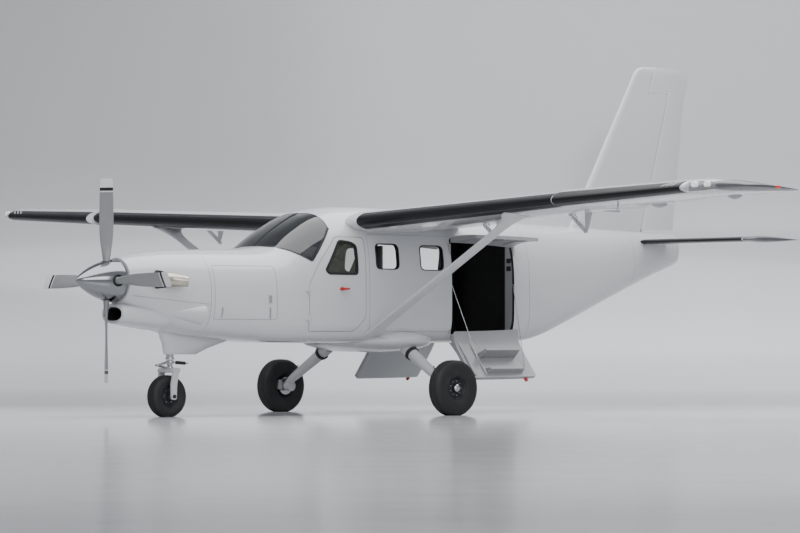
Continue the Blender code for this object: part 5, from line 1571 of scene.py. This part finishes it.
def build_nose_gear(s):
    """Nose leg fairing, barrel, torque links, fork, axle and shimmy damper."""
    rings = []
    for z, front, rear, half in (
        (0.765, 0.886, 1.365, 0.078), (0.772, 0.880, 1.38, 0.086), (0.79, 0.872, 1.42, 0.096),
        (0.84, 0.862, 1.55, 0.113), (0.88, 0.855, 1.68, 0.125), (0.92, 0.842, 1.82, 0.131),
        (0.96, 0.82, 1.95, 0.135), (1.02, 0.80, 2.06, 0.138), (1.10, 0.78, 2.15, 0.14),
    ):
        ring = []
        for i in range(64):
            t = 2 * math.pi * i / 64
            u = 0.5 - 0.5 * math.cos(t)
            ring.append((front + u * (rear - front), math.sin(t) * half * (1.15 - 0.5 * u), z))
        rings.append(ring)
    fairing = cut(
        loft("nose fairing", rings),
        [
            skin_mesh("body", 0.15, 3.0, -0.001),
            rod("bore", (NOSE_LEG_X, 0, 0.70), (NOSE_LEG_X, 0, 0.93), 0.056),
        ],
    )
    show(
        "nose gear fairing", fairing, M["white"], bevel=0.002,
        replaces=("nose_gear_fairing",),
    )
    x = NOSE_LEG_X
    leg = [
        rod("barrel", (x, 0, 0.702), (x, 0, 0.928), 0.048),
        turned(
            "collar", [(0.046, 0.702), (0.055, 0.702), (0.057, 0.712), (0.055, 0.724), (0.046, 0.724)],
            (x, 0, 0), (0, 0, 1), 40,
        ),
    ]
    show(
        "nose leg", merged("leg", [dressed(m, M["steel"]) for m in leg]), None,
        replaces=("nose_leg",)
    )
    parts = [
        (rod("stem", (x, 0, 0.575), (x, 0, 0.6990), 0.034), "steel"),
        (
            turned(
                "ring",
                [
                    (0.030, 0.650), (0.046, 0.650), (0.050, 0.660), (0.050, 0.684), (0.046, 0.694),
                    (0.030, 0.694),
                ],
                (x, 0, 0), (0, 0, 1), 36,
            ),
            "steel",
        ),
        (
            turned(
                "low ring",
                [(0.030, 0.590), (0.043, 0.590), (0.046, 0.602), (0.043, 0.616), (0.030, 0.616)],
                (x, 0, 0), (0, 0, 1), 36,
            ),
            "steel",
        ),
        (rod("damper", (x + 0.085, -0.01, 0.668), (x + 0.225, -0.01, 0.658), 0.021, sides=24), "dark"),
        (rod("damper rod", (x + 0.03, -0.01, 0.671), (x + 0.275, -0.01, 0.655), 0.008, sides=16), "steel"),
        (
            rod("axle", (NOSE_WHEEL[0], -0.160, 0.258), (NOSE_WHEEL[0], 0.160, 0.258), 0.0182, sides=24),
            "steel",
        ),
    ]
    crown = [
        (x - 0.075, 0.556), (x - 0.060, 0.598), (x + 0.030, 0.605), (x + 0.046, 0.590),
        (x + 0.046, 0.548), (x - 0.060, 0.545),
    ]
    parts.append((prism("crown", rounded(crown, 0.014), -0.150, 0.150), "gear_grey"))
    for sign in (-1, 1):
        blade = rounded(
            [
                (NOSE_WHEEL[0] - 0.040, 0.218), (NOSE_WHEEL[0] + 0.040, 0.218),
                (NOSE_WHEEL[0] + 0.046, 0.40), (x + 0.038, 0.598), (x - 0.050, 0.598),
                (NOSE_WHEEL[0] - 0.044, 0.40),
            ],
            0.030,
        )
        parts.append((prism("blade", blade, *sorted((sign * 0.124, sign * 0.149))), "gear_grey"))
        parts.append(
            (
                rod(
                    "nut", (NOSE_WHEEL[0], sign * 0.149, 0.258), (NOSE_WHEEL[0], sign * 0.162, 0.258),
                    0.026, sides=6,
                ),
                "dark",
            )
        )
        for a, b in (((x - 0.03, 0.672), (x - 0.195, 0.632)), ((x - 0.195, 0.632), (x - 0.035, 0.602))):
            parts.append(
                (
                    rod("link", (a[0], sign * 0.034, a[1]), (b[0], sign * 0.012, b[1]), 0.0105, sides=14),
                    "steel",
                )
            )
    parts.append(
        (rod("link pin", (x - 0.195, -0.026, 0.632), (x - 0.195, 0.026, 0.632), 0.015, sides=20), "steel")
    )
    show(
        "nose fork", merged("fork", [dressed(m, M[key]) for m, key in parts]), None,
        "nose_steering_body", bevel=0.0015, replaces=("nose_fork",)
    )


def build_main_gear(s):
    """Belly fairing, tapered legs with rubber boots, brakes and axles."""
    rings = []
    for x, half, low, high in (
        (3.42, 0.20, 0.892, 0.97), (3.46, 0.36, 0.876, 0.985), (3.54, 0.53, 0.855, 1.005),
        (3.62, 0.66, 0.840, 1.02), (3.74, 0.77, 0.818, 1.042), (3.86, 0.86, 0.800, 1.06),
        (4.00, 0.915, 0.789, 1.082), (4.14, 0.93, 0.785, 1.09), (4.28, 0.915, 0.789, 1.082),
        (4.42, 0.86, 0.800, 1.06), (4.55, 0.76, 0.820, 1.042), (4.68, 0.62, 0.845, 1.02),
        (4.78, 0.48, 0.864, 1.0), (4.85, 0.34, 0.878, 0.988), (4.88, 0.20, 0.889, 0.97),
    ):
        ring = []
        for i in range(72):
            t = 2 * math.pi * (i + 0.5) / 72
            c, v = math.cos(t), math.sin(t)
            ring.append(
                (
                    x, math.copysign(abs(c) ** 0.8, c) * half,
                    (low + high) / 2 + math.copysign(abs(v) ** 0.8, v) * (high - low) / 2,
                )
            )
        rings.append(ring)
    belly = cut(loft("belly", rings), [skin_mesh("body", 2.7, 6.0, -0.001)])
    show("belly fairing", belly, M["white"], angle=45, replaces=("belly_fairing",))
    for side, sign in SIDES:
        outer = Vector((4.10, sign * 1.50, 0.402))
        start = Vector((4.14, sign * 0.60, 0.93))
        parts = [
            (rod("tube", tuple(start.lerp(outer, 0.16)), tuple(outer), 0.078, 0.052, 40), "gear_grey"),
            (
                rod("foot", (4.10, sign * 1.435, 0.347), (4.10, sign * 1.532, 0.347), 0.066, 0.062, 40),
                "gear_grey",
            ),
            (
                rod("axle", (4.10, sign * 1.44, 0.347), (4.10, sign * 1.740, 0.347), 0.028, sides=32),
                "steel",
            ),
            (
                rod(
                    "brake disc", (4.10, sign * 1.556, 0.347), (4.10, sign * 1.566, 0.347), 0.112,
                    sides=48,
                ),
                "steel",
            ),
        ]
        lo, hi = sorted((sign * 1.530, sign * 1.585))
        caliper = rounded(
            [(4.02 - 0.075, 0.31), (4.02 + 0.005, 0.29), (4.02 + 0.005, 0.42), (4.02 - 0.055, 0.43)],
            0.015,
        )
        parts.append((prism("caliper", caliper, lo, hi), "alloy"))
        parts.append(
            (rod("hose", (4.03, sign * 1.52, 0.40), (4.10, sign * 1.30, 0.62), 0.006, sides=10), "rubber")
        )
        show(
            f"main leg {side}", merged("main leg", [dressed(m, M[key]) for m, key in parts]), None,
            replaces=(f"main_leg_{side}",)
        )
        p = start.lerp(outer, 0.285)
        q = start.lerp(outer, 0.325)
        show(f"leg boot {side}", rod("boot", tuple(p), tuple(q), 0.094, 0.086, 40), M["rubber"])


def build_cabin(s):
    """Floor, bulkhead, panel, yokes and crew seats seen through glass and openings."""
    nodes = frame["nodes"]
    # Floors and rear bulkhead get the near-black painted shade.
    for name, key in (
        ("cabin_floor", "cabin_painted_shade"), ("cargo_floor", "cabin_painted_shade"), ("rear_bulkhead", "cabin_painted_shade"),
        ("firewall", "dark"), ("engine_block", "iron"),
    ):
        obj = nodes[name]
        obj.data.materials.clear()
        obj.data.materials.append(M[key])
    screen = prism(
        "shield", [(2.34, 1.93), (2.82, 1.90), (2.84, 1.93), (2.78, 1.965), (2.36, 1.985)], -0.60, 0.60,
    )
    panel = prism("panel", [(2.70, 1.52), (2.78, 1.52), (2.80, 1.90), (2.72, 1.90)], -0.60, 0.60)
    parts = [dressed(screen, M["dark"]), dressed(panel, M["dark"])]
    for k in range(-3, 4):
        if k == 0:
            continue
        parts.append(
            dressed(
                rod("dial", (2.775, k * 0.14, 1.77), (2.802, k * 0.14, 1.77), 0.050, sides=24),
                M["rubber"],
            )
        )
    show(
        "instrument panel", merged("panel", parts), None, bevel=0.004,
        replaces=("instrument_panel",),
    )
    for side, sign in SIDES:
        y = sign * 0.34
        yoke = [
            rod("column", (2.79, y, 1.62), (2.95, y, 1.66), 0.012, sides=16),
            rod("bar", (2.95, y - 0.10, 1.66), (2.95, y + 0.10, 1.66), 0.014, sides=16),
        ]
        for d in (-1, 1):
            yoke.append(
                rod("horn", (2.95, y + d * 0.10, 1.655), (2.96, y + d * 0.125, 1.77), 0.015, 0.012, 16)
            )
        show(f"control yoke {side}", merged("yoke", [dressed(m, M["dark"]) for m in yoke]), None)
        build_seat(side, y)


def build_seat(side, y):
    def pad(name, rows):
        rings = []
        for x, z, across, deep in rows:
            ring = []
            for i in range(28):
                t = 2 * math.pi * i / 28
                c, v = math.cos(t), math.sin(t)
                ring.append(
                    (
                        x + math.copysign(abs(v) ** 0.5, v) * deep,
                        y + math.copysign(abs(c) ** 0.45, c) * across, z,
                    )
                )
            rings.append(ring)
        return loft(name, rings)

    back = pad(
        "back",
        (
            (3.66, 1.34, 0.17, 0.04), (3.67, 1.36, 0.20, 0.055), (3.70, 1.55, 0.215, 0.06),
            (3.76, 1.80, 0.21, 0.058), (3.81, 1.95, 0.18, 0.05), (3.82, 1.975, 0.15, 0.035),
        ),
    )
    head = pad(
        "head",
        (
            (3.825, 1.98, 0.09, 0.028), (3.83, 2.00, 0.12, 0.042), (3.855, 2.12, 0.12, 0.042),
            (3.86, 2.15, 0.09, 0.028),
        ),
    )
    base = []
    for z, across, deep in (
        (1.26, 0.19, 0.21), (1.28, 0.21, 0.235), (1.37, 0.215, 0.24), (1.395, 0.20, 0.22),
        (1.402, 0.16, 0.18),
    ):
        ring = []
        for i in range(32):
            t = 2 * math.pi * i / 32
            c, v = math.cos(t), math.sin(t)
            ring.append(
                (
                    3.45 + math.copysign(abs(v) ** 0.4, v) * deep,
                    y + math.copysign(abs(c) ** 0.4, c) * across, z,
                )
            )
        base.append(ring)
    cloth = [back, head, loft("base", base)]
    frame_bits = [box("rail", (3.28, y - 0.17 + d, 0.99), (3.62, y - 0.15 + d, 1.27)) for d in (0.0, 0.32)]
    meshes = [dressed(m, M["seat"]) for m in cloth] + [dressed(m, M["alloy"]) for m in frame_bits]
    show(f"crew seat {side}", merged("seat", meshes), None, replaces=(f"seat_{side}",))


def build_details(s):
    """Antennas, belly lamp and pitot tube."""
    x, y, z = 2.62, -0.60, 0.948
    lens = turned(
        "lens", [(0.001, -0.004), (0.040, -0.004), (0.044, 0.004), (0.030, 0.018), (0.001, 0.022)],
        (x, y, z), (0, -0.62, -0.78), 32,
    )
    show("belly lamp", lens, M["clear"])
    blades = []
    for x, z, tall in ((5.60, 0.912, -0.14),):
        rings = []
        for k in range(5):
            u = k / 4
            level = z - math.copysign(0.01, tall) + tall * u
            rings.append([(x + 0.10 * u + a * (0.07 - 0.035 * u), b * 0.008, level) for a, b in circle(20)])
        blades.append(dressed(loft("antenna", rings), M["white"]))
    show("blade antennas", merged("antennas", blades), None)
    p = wing_point(WING_OUTER, 5.2, 0.20, 0.11)
    pitot = [
        rod("mast", (p[0], -5.2, p[2] + 0.03), (p[0] - 0.02, -5.2, p[2] - 0.09), 0.010, sides=14),
        rod("tube", (p[0] + 0.02, -5.2, p[2] - 0.09), (p[0] - 0.22, -5.2, p[2] - 0.09), 0.0095, 0.006, 16),
    ]
    show("pitot tube", merged("pitot", [dressed(m, M["steel"]) for m in pitot]), None)


# Painted light and shade on the sweep, as height fraction and grey: a painted dark line at the bend, a bright band,
# then painted falloff towards the top.
SWEEP_PAINTED_SHADE = (
    (0.0, 0.62), (0.0022, 0.62), (0.004, 0.49), (0.013, 0.52), (0.03, 0.68), (0.10, 0.76), (0.20, 0.66),
    (0.45, 0.47), (0.75, 0.43),
)
SWEEP_HEIGHT = 8.0


def paint_sweep_shade(mat):
    """Paints light and shade on the sweep by height: a painted dark line where it bends, then a painted bright band,
    then painted shade growing grey towards the top.
    """
    nodes, links = mat.node_tree.nodes, mat.node_tree.links
    spot = nodes.new("ShaderNodeTexCoord")
    split = nodes.new("ShaderNodeSeparateXYZ")
    links.new(spot.outputs["Object"], split.inputs["Vector"])
    height = nodes.new("ShaderNodeMapRange")
    height.inputs["From Max"].default_value = SWEEP_HEIGHT
    links.new(split.outputs["Z"], height.inputs["Value"])
    ramp = nodes.new("ShaderNodeValToRGB")
    while len(ramp.color_ramp.elements) < len(SWEEP_PAINTED_SHADE):
        ramp.color_ramp.elements.new(0.5)
    for stop, (spot_at, grey) in zip(ramp.color_ramp.elements, SWEEP_PAINTED_SHADE):
        stop.position = spot_at
        stop.color = (grey * 0.98, grey, grey * 1.02, 1)
    links.new(height.outputs["Result"], ramp.inputs["Fac"])
    links.new(ramp.outputs["Color"], nodes["Principled BSDF"].inputs["Base Color"])


def build_stage(s):
    """Floor, backdrop, lights and the camera."""
    eye = Vector(CAMERA_SPOT)
    yaw, pitch = CAMERA_YAW, CAMERA_PITCH
    look = Vector((math.sin(yaw) * math.cos(pitch), math.cos(yaw) * math.cos(pitch), math.sin(pitch)))
    data = bpy.data.cameras.new("photo camera")
    data.sensor_width = SENSOR_WIDTH
    data.lens = FOCAL_PIXELS * SENSOR_WIDTH / PICTURE_WIDTH
    data.clip_start, data.clip_end = 1.0, 400.0
    camera = bpy.data.objects.new("photo camera", data)
    camera.location = place(eye)
    camera.rotation_mode = "QUATERNION"
    camera.rotation_quaternion = look.to_track_quat("-Z", "Y")
    bpy.context.scene.collection.objects.link(camera)
    bpy.context.scene.camera = camera

    # The sweep: floor to a bend behind the airplane, then a wall, square to the view.
    ahead = Vector((math.sin(yaw), math.cos(yaw), 0))
    across = Vector((math.cos(yaw), -math.sin(yaw), 0))
    base = Vector((place(eye).x, place(eye).y, 0))
    profile = [(-30.0, s.floor_lift), (53.2, s.floor_lift)]
    for k in range(1, 13):
        t = math.radians(90 * k / 12)
        profile.append((53.2 + 3.0 * math.sin(t), s.floor_lift + 3.0 * (1 - math.cos(t))))
    profile.append((56.2, 40.0))
    bm = bmesh.new()
    rows = []
    for along, up in profile:
        spot = base + ahead * along + Vector((0, 0, up))
        rows.append([bm.verts.new(spot + across * side) for side in (-80, 80)])
    for one, two in zip(rows, rows[1:]):
        bm.faces.new((one[0], one[1], two[1], two[0]))
    mesh = mesh_of("sweep", bm)
    for face in mesh.polygons:
        if face.normal.dot(Vector((0, 0, 1)) - ahead) < 0:
            mesh.flip_normals()
            break
    sweep = bpy.data.objects.new("studio sweep", mesh)
    mesh.shade_smooth()
    bpy.context.scene.collection.objects.link(sweep)
    mat = material("studio floor", (0.60, 0.615, 0.625), 0.15, vary=0.01, scale=0.2, rough_vary=0.03)
    mesh.materials.append(mat)
    # The sweep's light and shade are painted by height.
    paint_sweep_shade(mat)

    world = bpy.data.worlds.new("studio")
    bpy.context.scene.world = world
    world.use_nodes = True
    back = world.node_tree.nodes["Background"]
    back.inputs["Color"].default_value = (0.86, 0.90, 0.95, 1)
    back.inputs["Strength"].default_value = 0.55
    for name, spot, size, power, target in (
        ("top bank", (0, -1, 11), (22, 12), 2600, (0, 0, 0)),
        ("side bank", (-12, -22, 9), (16, 8), 1500, (0, 0, 1.5)),
        ("tail bank", (16, 8, 10), (10, 10), 900, (4, 0, 2)),
    ):
        lamp = bpy.data.lights.new(name, "AREA")
        lamp.shape = "RECTANGLE"
        lamp.size, lamp.size_y = size
        lamp.energy = power
        obj = bpy.data.objects.new(name, lamp)
        obj.location = spot
        obj.rotation_mode = "QUATERNION"
        obj.rotation_quaternion = (Vector(target) - Vector(spot)).to_track_quat("-Z", "Y")
        bpy.context.scene.collection.objects.link(obj)


def colour(name, description, default):
    return bpy.props.FloatVectorProperty(
        name=name, description=description, default=default, size=3, min=0.0, max=1.0, subtype="COLOR"
    )


class AirplaneSettings(bpy.types.PropertyGroup):
    """Sizes of the fine work on the airplane, and its colours."""

    seam_width: bpy.props.FloatProperty(
        name="Seam width", description="Width of the drawn panel seams", default=0.0055, min=0.001,
        max=0.02, unit="LENGTH",
    )
    boot_lift: bpy.props.FloatProperty(
        name="Boot thickness", description="How far the de-icing boots stand off the skin",
        default=0.0022, min=0.0005, max=0.01, unit="LENGTH",
    )
    floor_lift: bpy.props.FloatProperty(
        name="Floor lift",
        description="Height of the stage floor, which flattens the tyres as weight does", default=0.010,
        min=0.0, max=0.03, unit="LENGTH",
    )
    body_colour: colour("Body", "Paint of the body, wings and tail", (0.655, 0.662, 0.682))
    blade_colour: colour("Blades", "Paint of the propeller's blades", (0.27, 0.275, 0.28))
    spinner_colour: colour("Spinner", "Tone of the polished spinner", (0.27, 0.28, 0.30))
    boot_colour: colour("Boots", "De-icing rubber on the leading edges", (0.0085, 0.0090, 0.0105))
    tyre_colour: colour("Tyres", "Rubber of the tyres", (0.018, 0.0185, 0.020))
    handle_colour: colour("Handles", "Paint of the door handles", (0.55, 0.020, 0.020))


def settings_of(context):
    """The sidebar's sizes and colours. The finishes are made from them on first use."""
    if not M:
        M.update(make_materials(context.scene.airplane))
    return context.scene.airplane


class AIRPLANE_OT_fuselage(bpy.types.Operator):
    """The skin from cowl to tail cone, one surface with its openings, with painted shade on its inner faces."""

    bl_idname = "airplane.fuselage"
    bl_label = "Fuselage"

    def execute(self, context):
        build_fuselage(settings_of(context))
        return {"FINISHED"}


class AIRPLANE_OT_seams(bpy.types.Operator):
    """Panel seams and latches on the body's sides."""

    bl_idname = "airplane.seams"
    bl_label = "Seams"

    def execute(self, context):
        build_seams(settings_of(context))
        return {"FINISHED"}


class AIRPLANE_OT_glass(bpy.types.Operator):
    """Windshield with its centre post and seals, and the rubber frames of the side windows."""

    bl_idname = "airplane.glass"
    bl_label = "Glass"

    def execute(self, context):
        build_glass(settings_of(context))
        return {"FINISHED"}


class AIRPLANE_OT_crew_doors(bpy.types.Operator):
    """Crew doors with window, rubber frame, handle and hinges."""

    bl_idname = "airplane.crew_doors"
    bl_label = "Crew Doors"

    def execute(self, context):
        build_crew_doors(settings_of(context))
        return {"FINISHED"}


class AIRPLANE_OT_cargo_doors(bpy.types.Operator):
    """The two-piece cargo doors: upper panel, airstair with treads, stays, jambs and latches."""

    bl_idname = "airplane.cargo_doors"
    bl_label = "Cargo Doors"

    def execute(self, context):
        build_cargo_doors(settings_of(context))
        return {"FINISHED"}


class AIRPLANE_OT_cowl(bpy.types.Operator):
    """Chin intake, oil cooler exits and exhaust stubs."""

    bl_idname = "airplane.cowl"
    bl_label = "Cowl Details"

    def execute(self, context):
        build_cowl(settings_of(context))
        return {"FINISHED"}


class AIRPLANE_OT_propeller(bpy.types.Operator):
    """Four twisted blades with painted tips, the hub, and the polished spinner."""

    bl_idname = "airplane.propeller"
    bl_label = "Propeller"

    def execute(self, context):
        build_propeller(settings_of(context))
        return {"FINISHED"}


class AIRPLANE_OT_wings(bpy.types.Operator):
    """Wing skins with drooped outer edges, boots, lamps, trusses, flaps and ailerons."""

    bl_idname = "airplane.wings"
    bl_label = "Wings"

    def execute(self, context):
        build_wings(settings_of(context))
        return {"FINISHED"}


class AIRPLANE_OT_struts(bpy.types.Operator):
    """One streamlined strut a side with flared ends."""

    bl_idname = "airplane.struts"
    bl_label = "Struts"

    def execute(self, context):
        build_struts(settings_of(context))
        return {"FINISHED"}


class AIRPLANE_OT_tail(bpy.types.Operator):
    """Fin, rudder with horn, tailplanes with boots, and elevators with horns."""

    bl_idname = "airplane.tail"
    bl_label = "Tail"

    def execute(self, context):
        build_tail(settings_of(context))
        return {"FINISHED"}


class AIRPLANE_OT_wheels(bpy.types.Operator):
    """Tyres and wheels, with caps on the main wheels."""

    bl_idname = "airplane.wheels"
    bl_label = "Wheels"

    def execute(self, context):
        build_wheels(settings_of(context))
        return {"FINISHED"}


class AIRPLANE_OT_nose_gear(bpy.types.Operator):
    """Nose leg fairing, barrel, torque links, fork, axle and shimmy damper."""

    bl_idname = "airplane.nose_gear"
    bl_label = "Nose Gear"

    def execute(self, context):
        build_nose_gear(settings_of(context))
        return {"FINISHED"}


class AIRPLANE_OT_main_gear(bpy.types.Operator):
    """Belly fairing, tapered legs with rubber boots, brakes and axles."""

    bl_idname = "airplane.main_gear"
    bl_label = "Main Gear"

    def execute(self, context):
        build_main_gear(settings_of(context))
        return {"FINISHED"}


class AIRPLANE_OT_cabin(bpy.types.Operator):
    """Floor, bulkhead, panel, yokes and crew seats seen through glass and openings."""

    bl_idname = "airplane.cabin"
    bl_label = "Cabin"

    def execute(self, context):
        build_cabin(settings_of(context))
        return {"FINISHED"}


class AIRPLANE_OT_details(bpy.types.Operator):
    """Antennas, belly lamp and pitot tube."""

    bl_idname = "airplane.details"
    bl_label = "Details"

    def execute(self, context):
        build_details(settings_of(context))
        return {"FINISHED"}


class AIRPLANE_OT_stage(bpy.types.Operator):
    """Floor, backdrop, lights and the camera."""

    bl_idname = "airplane.stage"
    bl_label = "Stage"

    def execute(self, context):
        build_stage(settings_of(context))
        return {"FINISHED"}


OPERATORS = [
    AIRPLANE_OT_fuselage,
    AIRPLANE_OT_seams,
    AIRPLANE_OT_glass,
    AIRPLANE_OT_crew_doors,
    AIRPLANE_OT_cargo_doors,
    AIRPLANE_OT_cowl,
    AIRPLANE_OT_propeller,
    AIRPLANE_OT_wings,
    AIRPLANE_OT_struts,
    AIRPLANE_OT_tail,
    AIRPLANE_OT_wheels,
    AIRPLANE_OT_nose_gear,
    AIRPLANE_OT_main_gear,
    AIRPLANE_OT_cabin,
    AIRPLANE_OT_details,
    AIRPLANE_OT_stage,
]


class AIRPLANE_PT_panel(bpy.types.Panel):
    """Sidebar panel with one button a piece."""

    bl_label = "Utility Airplane"
    bl_idname = "AIRPLANE_PT_panel"
    bl_space_type = "VIEW_3D"
    bl_region_type = "UI"
    bl_category = "Airplane"

    def draw(self, context):
        for name in AirplaneSettings.__annotations__:
            self.layout.prop(context.scene.airplane, name)
        for cls in OPERATORS:
            self.layout.operator(cls.bl_idname)


CLASSES = [AirplaneSettings, *OPERATORS, AIRPLANE_PT_panel]


def register():
    for cls in CLASSES:
        bpy.utils.register_class(cls)
    bpy.types.Scene.airplane = bpy.props.PointerProperty(type=AirplaneSettings)


def unregister():
    del bpy.types.Scene.airplane
    for cls in reversed(CLASSES):
        bpy.utils.unregister_class(cls)


def main():
    register()
    for cls in OPERATORS:
        call = getattr(bpy.ops.airplane, cls.bl_idname.split(".")[1])
        call()


if __name__ == "__main__":
    main()
